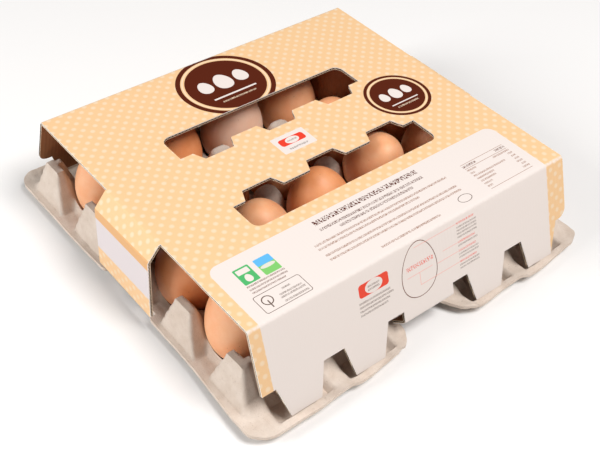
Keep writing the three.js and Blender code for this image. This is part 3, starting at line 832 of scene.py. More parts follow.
@dataclass
class PulpTray:
    """The moulded tray: one thin shell under a height field, with the sizes of the CAD tray."""

    columns: int = 5
    rows: int = 4
    pitch_x: float = 50.5
    pitch_y: float = 51.7
    wall: float = 2.4
    cup_floor_radius: float = 11.5
    cup_radius: float = 25.6
    cup_depth: float = 34.0
    post: float = 37.0
    post_half: float = 6.8
    end_post_half: float = 4.0
    post_slope: float = 2.9
    post_power: float = 3.2
    edge_post_power: float = 6.0
    crest_out: float = 1.75
    saddle: float = 17.0
    valley: float = 9.5
    valley_rise: float = 0.8
    valley_blend: float = 3.0
    cup_edge_slope: float = 6.0
    wall_slope: float = 2.5
    flange: float = 9.0
    flange_half_x: float = 139.5
    flange_half_y: float = 141.0
    corner_radius: float = 13.0
    face_top_half: float = 7.5
    face_side_slope: float = 2.67
    end_foot: float = 134.5
    end_notch_foot: float = 131.0
    side_face: float = 109.5
    side_face_slope: float = 3.3
    nose_half: float = 5.65
    nose_shift: float = 2.2
    ledge: float = 126.0
    lip_foot: float = 134.5
    lip: float = 136.3
    notch_floor_x: float = 131.25
    notch_floor_y: float = 114.5
    notch_half: float = 17.15
    notch_ledge: float = 12.5
    notch_wall_slope: float = 6.0
    notch_splay: Sequence[Point] = (
        (122, 17.15), (128, 19.6), (133.5, 23.4), (136, 26.2), (137.6, 30.2), (141, 33.0),
    )
    notch_reach: float = 34.0
    notch_lip: Sequence[Point] = ((4.0, 1.8), (3.0, 2.0))
    notch_corner: float = 3.0
    front_edge: Sequence[Point] = (
        (-137, 1.6), (-126, 0), (-97, 0.1), (-84, 1.2), (-72, 1.7), (-67, 0), (-58, 0.2), (-46, 2.2),
        (-31, 4), (-24, 5), (20, 2), (28, 1.6), (35, 0.9), (43, 0.9), (60, 2.7), (75, 2.7), (79.5, 0.2),
        (90, 0), (106, 2), (124, 3.9), (137, 4.4),
    )
    left_edge: Sequence[Point] = (
        (-138, 0), (-117, 0), (-100, 1), (-82, 2.4), (-72, 3), (-30, 3.2), (30, 2.6), (65, 1.6), (138, 1.5),
    )
    front_cut: Point = (130.0, 9.0)
    left_cut: Point = (131.0, 8.0)
    sway: float = 0.5
    sway_length: float = 95.0
    grid: float = 1.5
    crease: float = 1.4
    shoulder: float = 1.2
    arris: float = 0.9
    join: float = 0.8
    dents: Sequence[tuple[float, float, int]] = ((0.1, 7.0, 1), (0.22, 31.0, 2))
    steepest: float = 2.6
    thinnest: float = 0.8

    def __post_init__(self) -> None:
        """Works out where the posts, cells and edges stand."""
        self.half_x = self.columns * self.pitch_x / 2
        self.half_y = self.rows * self.pitch_y / 2
        self.post_x = [(i - self.columns / 2) * self.pitch_x for i in range(self.columns + 1)]
        self.post_y = [(i - self.rows / 2) * self.pitch_y for i in range(self.rows + 1)]
        self.cell_x = [(i - (self.columns - 1) / 2) * self.pitch_x for i in range(self.columns)]
        self.cell_y = [(i - (self.rows - 1) / 2) * self.pitch_y for i in range(self.rows)]
        self.crest_x = self.half_x + self.crest_out
        self.wall_x = self.half_x - self.end_post_half

    @staticmethod
    def nearest(value: np.ndarray, lines: Sequence[float]) -> np.ndarray:
        """Distance from each value to the nearest of some lines."""
        return np.min([np.abs(value - line) for line in lines], axis=0)

    def ridges(self, x: np.ndarray, y: np.ndarray) -> np.ndarray:
        """Height of the posts and of the ridges and low walls that run between them.

        Args:
            x: places along the rows.
            y: places across the rows.

        Returns:
            The heights.
        """
        inward = np.minimum(self.half_x - np.abs(x), self.half_y - np.abs(y))
        off = smooth_max(self.nearest(x, self.post_x), self.nearest(y, self.post_y), self.crease)
        low = self.valley + self.valley_rise * (self.pitch_x / 2 - off)
        height = smooth_max(np.minimum(self.saddle, self.flange + inward), low, self.valley_blend)
        for post_x in self.post_x:
            half = self.end_post_half if abs(post_x) > self.half_x - 1 else self.post_half
            for post_y in self.post_y:
                on_edge = abs(post_x) > self.half_x - 1 or abs(post_y) > self.half_y - 1
                power = self.edge_post_power if on_edge else self.post_power
                far_x = np.maximum(np.abs(x - post_x) + self.post_half - half, 0)
                away = (far_x**power + np.abs(y - post_y) ** power) ** (1 / power) - self.post_half
                fall = self.post_slope * smooth_max(away, 0.0, self.shoulder)
                height = smooth_max(height, self.post - fall, self.crease)
        return height

    def cups(self, x: np.ndarray, y: np.ndarray) -> np.ndarray:
        """Height of the round hollows that the eggs sit in, very high between them.

        Args:
            x: places along the rows.
            y: places across the rows.

        Returns:
            The heights.
        """
        radius = np.hypot(self.nearest(x, self.cell_x), self.nearest(y, self.cell_y))
        inside = np.clip(radius / self.cup_radius, 0, 0.9995)
        rise = self.cup_depth * np.sqrt(1 - inside**2)
        floor = self.cup_depth * math.sqrt(1 - (self.cup_floor_radius / self.cup_radius) ** 2)
        bowl = self.wall + np.maximum(floor - rise, 0)
        return bowl + self.cup_edge_slope * np.maximum(radius - self.cup_radius, 0)

    def end_front(self, x: np.ndarray, foot: float) -> np.ndarray:
        """Height of the plane in which the ends' faces lie, from its crest down to its foot."""
        lean = (self.post - self.flange) / (foot - self.crest_x)
        return smooth_min(self.post - lean * (np.abs(x) - self.crest_x), self.post, self.shoulder)

    def end_faces(self, x: np.ndarray, y: np.ndarray) -> np.ndarray:
        """Height of the flat faces of the posts on the two ends.

        Args:
            x: places along the rows.
            y: places across the rows.

        Returns:
            The heights.
        """
        height = np.zeros_like(x)
        for post_y in self.post_y:
            front = self.end_front(x, self.end_notch_foot if post_y == 0 else self.end_foot)
            side = self.post - self.face_side_slope * (np.abs(y - post_y) - self.face_top_half)
            height = np.maximum(height, smooth_min(front, side, self.arris))
        return height

    def sides(self, x: np.ndarray, y: np.ndarray) -> np.ndarray:
        """Height of the post faces on the wide sides, and of the noses that run out from them.

        Args:
            x: places along the rows.
            y: places across the rows.

        Returns:
            The heights.
        """
        out = np.abs(y)
        off = self.nearest(x, self.post_x)
        flank = self.post - self.face_side_slope * (off - self.face_top_half)
        face = self.post - self.side_face_slope * (out - self.side_face)
        face = smooth_min(smooth_min(face, self.post, self.shoulder), flank, self.arris)
        ledge = self.flange + smooth_max(self.ledge - out, 0.0, 2.0)
        nose = ledge - self.face_side_slope * smooth_max(off - self.nose_half, 0.0, 1.0)
        clear = self.notch_ledge + self.face_side_slope * np.maximum(np.abs(x) - self.pitch_x / 2, 0)
        clear = clear + self.notch_wall_slope * np.maximum(self.notch_floor_y - out, 0)
        return smooth_min(smooth_max(face, nose, self.shoulder), clear, 1.0)

    def height(self, x: np.ndarray, y: np.ndarray) -> np.ndarray:
        """Height of the tray's upper face over its plan.

        Args:
            x: places along the rows.
            y: places across the rows.

        Returns:
            The heights, in millimetres.
        """
        over_x = np.abs(x) - self.half_x
        over_y = np.abs(y) - self.half_y
        past_wall = np.abs(x) - self.wall_x
        edge_x = np.clip(x, -self.wall_x, self.wall_x)
        edge_y = np.clip(y, -self.half_y, self.half_y)
        wall = self.ridges(edge_x, edge_y) - self.wall_slope * np.maximum(np.maximum(past_wall, over_y), 0)
        hollow = np.where((over_x <= 0) & (over_y <= 0), self.cups(x, y), 99.0)
        climb = np.clip((np.abs(y) - self.lip_foot) / (self.lip - self.lip_foot), 0, 1)
        (wide, ramp_x), (back, ramp_y) = self.notch_lip
        beside = np.clip((self.notch_half + wide - np.abs(x)) / ramp_x, 0, 1)
        beside = beside * np.clip((np.abs(y) - self.notch_floor_y + back) / ramp_y, 0, 1)
        pocket = self.wall + (self.flange - self.wall) * np.maximum(climb, beside)
        end_rim = np.where(past_wall > 0, self.flange, 0)
        rim = np.where(over_x > 0, self.flange, np.where(over_y > 0, pocket, end_rim))
        height = smooth_min(smooth_max(wall, rim, self.crease), hollow, self.crease)
        ends = np.where(past_wall > 0, self.end_faces(x, y), 0)
        height = smooth_max(height, ends, self.join)
        sides = self.sides(x, y)
        sides = np.where(over_x > 0, np.minimum(sides, self.end_front(x, self.end_foot)), sides)
        return smooth_max(height, np.where(over_y > 0, sides, 0), self.join)

    def grid_lines(self, half: float, marks: Sequence[float]) -> np.ndarray:
        """Evenly spaced lines over the plan that pass exactly through some marks.

        Args:
            half: the plan's half width.
            marks: places that a line passes through, on both sides.

        Returns:
            The lines' places, in order.
        """
        stops = sorted({-half, half, *marks, *(-mark for mark in marks)})
        lines = [stops[0]]
        for start, end in zip(stops, stops[1:]):
            count = max(1, round((end - start) / self.grid))
            lines.extend(np.linspace(start, end, count + 1)[1:])
        return np.array(lines)

    def plan(self, x: np.ndarray, y: np.ndarray) -> tuple[np.ndarray, np.ndarray]:
        """Draws the noses aside, rounds the rim's corners and notches and lets its edges wander.

        Args:
            x: places of an even grid along the rows.
            y: places of it across the rows.

        Returns:
            Where the grid's points lie in the tray's plan.
        """
        rise = np.clip((np.abs(y) - self.notch_floor_y) / (self.ledge - self.notch_floor_y), 0, 1)
        fade = np.clip(2 * (self.half_x - np.abs(x)) / self.pitch_x, 0, 1)
        shift = -np.sign(y) * self.nose_shift * rise * fade
        out_x, out_y = np.abs(x), np.abs(y)
        for edge_y, reach, toward_y in (
            (self.flange_half_y, self.corner_radius, 1.0), (self.pitch_y / 2, self.notch_corner, -1.0),
        ):
            middle_x = self.flange_half_x - reach
            middle_y = edge_y - toward_y * reach
            off_x = out_x - middle_x
            off_y = (out_y - middle_y) * toward_y
            far = np.hypot(off_x, off_y)
            beyond = (off_x > 0) & (off_y > 0) & (off_x <= reach + 0.01) & (off_y <= reach + 0.01) & (far > 0)
            share = np.where(beyond, np.maximum(off_x, off_y) / np.maximum(far, 1e-6), 1.0)
            out_x = middle_x + off_x * share
            out_y = middle_y + toward_y * off_y * share
        wander, sway = (
            self.sway * np.maximum(0.8 - ripple(along_x, along_y, self.sway_length, seed), 0)
            for along_x, along_y, seed in ((x, 0 * y, 5), (0 * x, y, 6))
        )
        inset = np.where(y < 0, np.interp(x, *zip(*self.front_edge)), wander)
        out_y = out_y - inset * np.clip((out_y - self.front_cut[0]) / self.front_cut[1], 0, 1)
        edge = np.interp(out_y, *zip(*self.notch_splay))
        share = (self.notch_reach - edge) / (self.notch_reach - self.notch_half)
        short = self.notch_reach - out_x
        out_x = np.where(short > 0, self.notch_reach - short * share, out_x)
        inset = np.where(x < 0, np.interp(y, *zip(*self.left_edge)), sway)
        out_x = out_x - inset * np.clip((out_x - self.left_cut[0]) / self.left_cut[1], 0, 1)
        return np.sign(x) * out_x + shift, np.sign(y) * out_y

    def build(self, pulp: bpy.types.Material) -> bpy.types.Object:
        """Builds the shell as one closed mesh.

        Args:
            pulp: its material.

        Returns:
            The tray.
        """
        xs = self.grid_lines(
            self.flange_half_x,
            (0.0, self.notch_half, self.pitch_x / 2, self.half_x, self.notch_floor_x, self.end_foot),
        )
        ys = self.grid_lines(
            self.flange_half_y,
            (0.0, self.pitch_y / 2, self.half_y, self.notch_floor_y, self.ledge, self.lip_foot, self.lip),
        )
        x, y = np.meshgrid(xs, ys, indexing="ij")
        z = self.height(x, y)
        step = 0.6
        slope_x = (self.height(x + step, y) - self.height(x - step, y)) / (2 * step)
        slope_y = (self.height(x, y + step) - self.height(x, y - step)) / (2 * step)
        depth = self.wall * np.minimum(np.sqrt(1 + slope_x**2 + slope_y**2), self.steepest)
        for deep, length, seed in self.dents:
            z = z + deep * ripple(x, y, length, seed)
        floor = np.maximum(z - depth, 0.0)
        z = np.maximum(z, floor + self.thinnest * self.wall)
        flat_x, flat_y = self.plan(x, y)
        corners = np.concatenate([np.stack([flat_x, flat_y, face], -1).reshape(-1, 3) for face in (z, floor)])
        middle_x = np.abs(xs[1:] + xs[:-1]) / 2
        middle_y = np.abs(ys[1:] + ys[:-1]) / 2
        end_notch = (middle_x[:, None] > self.notch_floor_x) & (middle_y[None, :] < self.pitch_y / 2)
        side_notch = (middle_y[None, :] > self.notch_floor_y) & (middle_x[:, None] < self.notch_half)
        faces = self.shell_faces(~(end_notch | side_notch), x.size)
        return make_mesh("pulp_tray", corners, faces, [pulp], sharp_degrees=60)

    @staticmethod
    def shell_faces(kept: np.ndarray, count: int) -> list[tuple[int, int, int, int]]:
        """Faces of a shell over the kept cells of a grid.

        Args:
            kept: which cells of the grid have material.
            count: how many corners one side has; the under side's follow the upper side's.

        Returns:
            Upper, under and edge faces, facing outwards.
        """
        across = kept.shape[1] + 1
        padded = np.pad(kept, 1)
        faces: list[tuple[int, int, int, int]] = []
        for i, j in np.argwhere(kept):
            a, b = i * across + j, (i + 1) * across + j
            ring = (a, b, b + 1, a + 1)
            faces.append(ring)
            faces.append(tuple(corner + count for corner in reversed(ring)))
            neighbours = (padded[i + 1, j], padded[i + 2, j + 1], padded[i + 1, j + 2], padded[i, j + 1])
            for side, there in enumerate(neighbours):
                if not there:
                    start, end = ring[side], ring[(side + 1) % 4]
                    faces.append((start + count, end + count, end, start))
        return faces


# ---------------------------------------------------------------------------
# The sleeve
# ---------------------------------------------------------------------------


@dataclass
class FoldedPath:
    """The outer face of folded board in cross-section: straight runs joined by arcs."""

    corners: Sequence[Point]
    radius: float
    start: float = 0.0
    steps: int = 6

    def __post_init__(self) -> None:
        """Works out each straight run and each arc, and where it starts along the face."""
        points = [np.array(corner, float) for corner in self.corners]
        along = [(b - a) / np.linalg.norm(b - a) for a, b in zip(points, points[1:])]
        trims = [0.0]
        turns = []
        for before, after in zip(along, along[1:]):
            turn = math.atan2(before[0] * after[1] - before[1] * after[0], float(before @ after))
            turns.append(turn)
            trims.append(self.radius * math.tan(abs(turn) / 2))
        trims.append(0.0)
        self.pieces: list[tuple[float, float, Callable[[np.ndarray], tuple[np.ndarray, np.ndarray]]]] = []
        self.rows: list[float] = []
        self.folds: list[float] = []
        place = self.start
        for i, direction in enumerate(along):
            begin = points[i] + direction * trims[i]
            run = float(np.linalg.norm(points[i + 1] - points[i])) - trims[i] - trims[i + 1]
            self.pieces.append((place, place + run, self.straight(begin, direction, place)))
            place += run
            if i < len(turns):
                corner = points[i + 1] - direction * trims[i + 1]
                sweep = self.radius * abs(turns[i])
                self.pieces.append((place, place + sweep, self.arc(corner, direction, turns[i], place)))
                self.rows.extend(np.linspace(place, place + sweep, self.steps + 1))
                self.folds.append(place + sweep / 2)
                place += sweep
        self.end = place

    @staticmethod
    def straight(begin: np.ndarray, direction: np.ndarray, place: float) -> Callable:
        """Where points of a straight run are.

        Args:
            begin: where the run starts.
            direction: the way it goes.
            place: its start along the face.

        Returns:
            A function from distances along the face to points and inward normals.
        """

        def at(s: np.ndarray) -> tuple[np.ndarray, np.ndarray]:
            """Points and inward normals at distances along the face."""
            inward = np.array([direction[1], -direction[0]])
            return begin + np.outer(s - place, direction), np.tile(inward, (len(s), 1))

        return at

    def arc(self, corner: np.ndarray, direction: np.ndarray, turn: float, place: float) -> Callable:
        """Where points of a fold are. Folds turn to the right, towards the board's inner face.

        Args:
            corner: where the arc starts.
            direction: the way the run before it goes.
            turn: how far it turns, in radians.
            place: its start along the face.

        Returns:
            A function from distances along the face to points and inward normals.
        """
        radius = self.radius
        inward = np.array([direction[1], -direction[0]])
        centre = corner + inward * radius

        def at(s: np.ndarray) -> tuple[np.ndarray, np.ndarray]:
            """Points and inward normals at distances along the face.

            Args:
                s: distances along the face.

            Returns:
                The points, and the inward normals there.
            """
            angle = math.copysign(1, turn) * (s - place) / radius
            cos, sin = np.cos(angle), np.sin(angle)
            normal = np.stack([inward[0] * cos - inward[1] * sin, inward[0] * sin + inward[1] * cos], -1)
            return centre - normal * radius, normal

        return at

    def locate(self, s: np.ndarray, depth: np.ndarray) -> np.ndarray:
        """Points of the board.

        Args:
            s: distances along the outer face.
            depth: how far under the outer face each point lies.

        Returns:
            Two coordinates for each point.
        """
        place = np.zeros((len(s), 2))
        for number, (low, high, at) in enumerate(self.pieces):
            first, last = number == 0, number == len(self.pieces) - 1
            here = ((s >= low) | first) & ((s < high) | last)
            point, normal = at(s[here])
            place[here] = point + normal * depth[here, None]
        return place


@dataclass
class CorrugatedSleeve:
    """One piece of E-flute board, folded over the tray: printed liner, flutes and kraft liner."""

    shift: Point = (-2.0, -2.5)
    top_z: float = 71.0
    board: float = 2.0
    liner: float = 0.36
    coated: float = 0.5
    flute_pitch: float = 2.6
    flute_paper: float = 0.38
    half_x: float = 126.0
    half_y: float = 112.3
    splay: float = 0.345
    foot_z: float = 9.4
    fold_radius: float = 3.0
    window_end: float = 74.0
    window_edge: float = 51.1
    window_tooth: float = 27.7
    window_recess: float = 18.9
    window_pitch: float = 50.0
    recess_half: float = 10.9
    mouth_half: float = 14.8
    window_corner: float = 6.0
    slot_top_z: float = 30.5
    slot_x: float = 74.7
    slot_top_half: float = 7.7
    slot_foot_half: float = 13.24
    corner_slot_top: float = 116.4
    corner_slot_foot: float = 109.9
    ear_radius: float = 7.0
    tab_half: float = 20.4
    tab_crease_z: float = 22.3
    tab_inset: float = 10.0
    tab_drop: float = 8.3
    tab_slot_top: float = 33.2
    tab_slot_foot: float = 39.24
    flap_half: float = 29.4
    flap_fold_x: float = 127.0
    flap_shoulder: Point = (135.5, 60.5)
    flap_foot: Point = (136.5, 16.0)
    flap_radius: float = 2.2
    net_step: float = 7.0
    net_offset: Point = (0.31, 0.17)
    lines_per_flute: int = 8
    paper_gap: float = 0.02
    flute_short: float = 0.25

    def __post_init__(self) -> None:
        """Works out the folded cross-sections and where the net's features lie along them."""
        top = [(0.0, self.top_z), (self.half_y, self.top_z)]
        foot = (self.panel_y(self.foot_z), self.foot_z)
        self.panel = FoldedPath([*top, foot], self.fold_radius)
        crease = (self.panel_y(self.tab_crease_z), self.tab_crease_z)
        tab_end = (crease[0] - self.tab_inset, crease[1] - self.tab_drop)
        self.tab = FoldedPath([*top, crease, tab_end], self.fold_radius)
        flap = [top[0], (self.flap_fold_x, self.top_z), self.flap_shoulder, self.flap_foot]
        self.flap = FoldedPath(flap, self.flap_radius)
        self.panel_from = self.panel.end - (self.top_z - self.foot_z) * math.hypot(1, self.splay)
        self.slot_v = self.down_panel(self.slot_top_z)
        self.foot_v = self.panel.end

    def panel_y(self, z: float) -> float:
        """How far out a long panel's outer face is at a height."""
        return self.half_y + self.splay * (self.top_z - z)

    def down_panel(self, z: float) -> float:
        """The net's place for a height on a long panel."""
        return self.panel_from + (self.top_z - z) * math.hypot(1, self.splay)

    @staticmethod
    def fillet(corner: Point, before: Point, after: Point, radius: float, steps: int = 6) -> list[Point]:
        """Points of an arc that rounds a corner.

        Args:
            corner: the sharp corner.
            before: a point on the way in.
            after: a point on the way out.
            radius: of the rounding.
            steps: chords in the arc.

        Returns:
            The arc's points in order.
        """
        c, a, b = (np.array(p, float) for p in (corner, before, after))
        into = (a - c) / np.linalg.norm(a - c)
        out = (b - c) / np.linalg.norm(b - c)
        half = math.acos(float(np.clip(into @ out, -1, 1))) / 2
        run = radius / math.tan(half)
        middle = c + (into + out) / np.linalg.norm(into + out) * radius / math.sin(half)
        start, end = c + into * run - middle, c + out * run - middle
        sweep = math.atan2(start[0] * end[1] - start[1] * end[0], float(start @ end))
        turns = [(math.cos(sweep * i / steps), math.sin(sweep * i / steps)) for i in range(steps + 1)]
        (x, y), (dx, dy) = middle.tolist(), start.tolist()
        return [(x + dx * cos - dy * sin, y + dx * sin + dy * cos) for cos, sin in turns]

    def foot_line(self) -> list[Point]:
        """The lower edge of a long panel on the net, from its left ear to its right, as (across, down).

        Returns:
            The edge's points, in order.
        """
        slot, foot = self.slot_v, self.foot_v
        right: list[Point] = [
            (self.tab_half, self.tab.end), (self.tab_half, slot),
            (self.tab_slot_top, slot), (self.tab_slot_foot, foot),
            (self.slot_x - self.slot_foot_half, foot), (self.slot_x - self.slot_top_half, slot),
            (self.slot_x + self.slot_top_half, slot), (self.slot_x + self.slot_foot_half, foot),
            (self.corner_slot_foot, foot), (self.corner_slot_top, slot),
        ]
        left = [(-u, v) for u, v in reversed(right)]
        ear = self.fillet((self.half_x, slot), (0.0, slot), (self.half_x, 0.0), self.ear_radius)
        return [(-self.half_x, slot), *left, *right, *ear]

    def outline(self) -> list[Point]:
        """The net's outer edge, anticlockwise, as (across, along).

        Returns:
            Its points, in order.
        """
        front = [(u, -v) for u, v in self.foot_line()]
        back = [(-u, v) for u, v in self.foot_line()]
        end = self.flap.end
        right = [(self.half_x, -self.flap_half), (end, -self.flap_half), (end, self.flap_half),
                 (self.half_x, self.flap_half)]
        left = [(-u, -v) for u, v in right]
        return front + right + back + left

    def window(self, side: int) -> list[Point]:
        """One long window on the net, as (across, along).

        Args:
            side: -1 for the front one and 1 for the back one.

        Returns:
            Its points, in order.
        """
        end, edge, tooth, recess = self.window_end, self.window_edge, self.window_tooth, self.window_recess
        steps = ((-self.mouth_half, tooth), (-self.recess_half, recess))
        steps += tuple((-off, depth) for off, depth in reversed(steps))
        line: list[Point] = [(-end, tooth)]
        for middle in (-self.window_pitch, 0.0, self.window_pitch):
            line += [(middle + off, depth) for off, depth in steps]
        line.append((end, tooth))
        line += self.fillet((end, edge), (end, 0.0), (0.0, edge), self.window_corner)
        line += self.fillet((-end, edge), (0.0, edge), (-end, 0.0), self.window_corner)
        return [(u, side * v) for u, v in line]

    @staticmethod
    def inside(loop: Sequence[Point], u: np.ndarray, v: np.ndarray) -> np.ndarray:
        """Whether each point lies inside a closed loop, by counting crossings.

        Args:
            loop: the loop's points, in order.
            u: places across the net.
            v: places along the net.

        Returns:
            True for each point inside.
        """
        within = np.zeros(u.shape, bool)
        ends = list(loop[1:]) + [loop[0]]
        for (u0, v0), (u1, v1) in zip(loop, ends):
            if v0 == v1:
                continue
            crosses = (v0 > v) != (v1 > v)
            within ^= crosses & (u < u0 + (v - v0) * (u1 - u0) / (v1 - v0))
        return within

    def place(
        self, u: np.ndarray, v: np.ndarray, depth: np.ndarray, tab: Optional[np.ndarray] = None
    ) -> np.ndarray:
        """Folds points of the net into place.

        Args:
            u: across the net.
            v: along the net.
            depth: under the printed face.
            tab: which points fold with the tabs; found from their places if left out.

        Returns:
            Their places, in millimetres in the CAD frame.
        """
        points = np.zeros((len(u), 3))
        on_tab = (np.abs(u) <= self.tab_half + 1e-3) if tab is None else tab
        for mask, path in ((~on_tab, self.panel), (on_tab, self.tab)):
            yz = path.locate(np.abs(v[mask]), depth[mask])
            points[mask] = np.stack([u[mask], np.sign(v[mask]) * yz[:, 0], yz[:, 1]], -1)
        on_flap = (np.abs(v) <= self.flap_half + 1e-3) & (np.abs(u) > self.half_x - 1.0)
        xz = self.flap.locate(np.abs(u[on_flap]), depth[on_flap])
        points[on_flap] = np.stack([np.sign(u[on_flap]) * xz[:, 0], v[on_flap], xz[:, 1]], -1)
        points[:, :2] += self.shift
        return points

    def triangulate(self) -> tuple[np.ndarray, np.ndarray]:
        """Cuts the flat net into triangles that keep its edges and fold lines.

        Returns:
            The net's points, and the corners of each triangle.
        """
        points: list[Point] = []
        edges: list[tuple[int, int]] = []
        loops = [self.outline(), self.window(-1), self.window(1)]
        for loop in loops:
            first = len(points)
            points.extend(loop)
            edges.extend((first + i, first + (i + 1) % len(loop)) for i in range(len(loop)))
        rows = self.panel.rows + [v for v in self.tab.rows if v > self.slot_v]
        folds = [
            ((-reach, side * v), (reach, side * v))
            for v, reach in ((v, self.half_x if v < self.slot_v else self.tab_half) for v in rows)
            for side in (-1, 1)
        ]
        folds += [
            ((side * u, -self.flap_half), (side * u, self.flap_half))
            for u in self.flap.rows if u > self.half_x
            for side in (-1, 1)
        ]
        for fold in folds:
            edges.append((len(points), len(points) + 1))
            points += fold
        wide, long = (
            np.arange(-end, end, self.net_step) + offset
            for end, offset in zip((self.flap.end, self.panel.end), self.net_offset)
        )
        points += [(float(u), float(v)) for u in wide for v in long]
        flat, _, faces, *_ = geometry.delaunay_2d_cdt([Vector(p) for p in points], edges, [], 0, 1e-4)
        net = np.array([tuple(p) for p in flat])
        triangles = np.array([f for f in faces if len(f) == 3])
        middle = net[triangles].mean(1)
        keep = self.inside(loops[0], middle[:, 0], middle[:, 1])
        for loop in loops[1:]:
            keep &= ~self.inside(loop, middle[:, 0], middle[:, 1])
        triangles = triangles[keep]
        a, b, c = (net[triangles[:, i]] for i in range(3))
        area = (b[:, 0] - a[:, 0]) * (c[:, 1] - a[:, 1]) - (b[:, 1] - a[:, 1]) * (c[:, 0] - a[:, 0])
        triangles[area < 0] = triangles[area < 0][:, ::-1]
        used, numbers = np.unique(triangles[np.abs(area) > 1e-6], return_inverse=True)
        return net[used], numbers.reshape(-1, 3)

    def sheet(
        self, name: str, top: float, bottom: float, net: np.ndarray, triangles: np.ndarray,
        materials: Sequence[bpy.types.Material],
    ) -> bpy.types.Object:
        """Builds one liner of the board as a closed sheet.

        Args:
            name: the object's name.
            top: depth of its outward face.
            bottom: depth of its inward face.
            net: the net's points.
            triangles: the net's triangles.
            materials: of its outward face, its cut edge and its inward face.

        Returns:
            The sheet, with the net as its UV map, in metres.
        """
        count = len(net)
        depths = np.repeat([top, bottom], count)
        u, v = np.tile(net[:, 0], 2), np.tile(net[:, 1], 2)
        corners = self.place(u, v, depths)
        halves = dict.fromkeys(edge for a, b, c in triangles for edge in ((a, b), (b, c), (c, a)))
        faces = [tuple(t) for t in triangles] + [tuple(t[::-1] + count) for t in triangles]
        rim = [(b, a, a + count, b + count) for a, b in halves if (b, a) not in halves]
        slots = [0] * len(triangles) + [2] * len(triangles) + [1] * len(rim)
        sheet = make_mesh(name, corners, faces + rim, materials, slots)
        chart = sheet.data.uv_layers.new(name="net")
        corner_of = np.zeros(len(sheet.data.loops), np.int32)
        sheet.data.loops.foreach_get("vertex_index", corner_of)
        chart.data.foreach_set("uv", (np.stack([u, v], -1)[corner_of] * MM).ravel())
        return sheet

    def flute_runs(self, u: float) -> list[tuple[float, float]]:
        """The stretches of board along one line of the net, a little short of each cut edge.

        Args:
            u: the line's place across the net.

        Returns:
            Each stretch's start and end along the net.
        """
        crossings: list[float] = []
        for loop in (self.outline(), self.window(-1), self.window(1)):
            ends = loop[1:] + [loop[0]]
            for (u0, v0), (u1, v1) in zip(loop, ends):
                if (u0 > u) != (u1 > u):
                    crossings.append(v0 + (u - u0) * (v1 - v0) / (u1 - u0))
        crossings.sort()
        short = self.flute_short
        pairs = zip(crossings[::2], crossings[1::2])
        return [(a + short, b - short) for a, b in pairs if b - a > 2 * short]

    def build_flutes(self, medium: bpy.types.Material, cut: bpy.types.Material) -> bpy.types.Object:
        """Builds the fluted paper between the liners with Geometry Nodes, from a flat middle sheet.

        Args:
            medium: its material, near-black brown as painted shade.
            cut: the material of its cut edge, pale paper drawn paler still as painted light.

        Returns:
            The flutes as a thin closed sheet.
        """
        step = self.flute_pitch / self.lines_per_flute
        count = int(2 * self.flap.end / step)
        lines = -self.flap.end + 0.3 + step * np.arange(count)
        lines = np.sort(np.append(lines, [-self.tab_half, self.tab_half]))
        rows = sorted({round(s * v, 4) for v in (*self.panel.rows, *self.tab.rows) for s in (-1, 1)})
        points: list[Point] = []
        tabs: list[bool] = []
        faces: list[tuple[int, int, int, int]] = []
        for left, right in zip(lines, lines[1:]):
            for low, high in self.flute_runs((left + right) / 2):
                stops = [low, *(v for v in rows if low < v < high), high]
                for start, end in zip(stops, stops[1:]):
                    first = len(points)
                    points += [(left, start), (right, start), (right, end), (left, end)]
                    tabs += [abs(left + right) / 2 < self.tab_half] * 4
                    faces.append((first, first + 1, first + 2, first + 3))
        net = np.array(points)
        depth = np.full(len(net), (self.coated + self.board - self.liner) / 2)
        corners = self.place(net[:, 0], net[:, 1], depth, np.array(tabs))
        outer = self.place(net[:, 0], net[:, 1], depth - 0.5, np.array(tabs))
        flat = make_mesh("flute_sheet", corners, faces, [medium])
        across = flat.data.attributes.new("across", "FLOAT", "POINT")
        across.data.foreach_set("value", net[:, 0] * MM)
        lift = flat.data.attributes.new("outward", "FLOAT_VECTOR", "POINT")
        lift.data.foreach_set("vector", ((outer - corners) / 0.5).ravel())
        rise = (self.board - self.liner - self.coated - self.flute_paper) / 2 - self.paper_gap
        inputs = {"Pitch": self.flute_pitch * MM, "Rise": rise * MM}
        flutes = baked(flat, "board_flutes", self.flute_tree(medium), inputs)
        flutes.data.materials.append(cut)
        solid = flutes.modifiers.new("paper", "SOLIDIFY")
        solid.thickness = self.flute_paper * MM
        solid.offset = 0.0
        solid.material_offset_rim = 1
        flutes = baked(flutes, "board_flutes")
        flutes.data.shade_smooth()
        return flutes

    @staticmethod
    def flute_tree(medium: bpy.types.Material) -> bpy.types.NodeTree:
        """Makes a node tree that lifts a flat sheet into sine flutes.

        Args:
            medium: the flutes' material.

        Returns:
            The tree.
        """
        sockets = {"Sheet": "Geometry", "Pitch": "Float", "Rise": "Float"}
        tree, add = start_tree("board_flutes", sockets, "Flutes")
        sheet, pitch, rise, *_ = add("NodeGroupInput").outputs
        across = add("GeometryNodeInputNamedAttribute", {"Name": "across"}, data_type="FLOAT")
        outward = add("GeometryNodeInputNamedAttribute", {"Name": "outward"}, data_type="FLOAT_VECTOR")
        lift = chain(
            add, "Math", across, ("DIVIDE", pitch), ("MULTIPLY", 2 * math.pi), ("SINE",), ("MULTIPLY", rise)
        )
        move = add("VectorMath", {0: outward, "Scale": lift}, operation="SCALE")
        welded = add("GeometryNodeMergeByDistance", {"Geometry": sheet, "Distance": 0.005 * MM})
        raised = add("GeometryNodeSetPosition", {"Geometry": welded, "Offset": move})
        end_tree(add, raised, medium, "Flutes")
        return tree

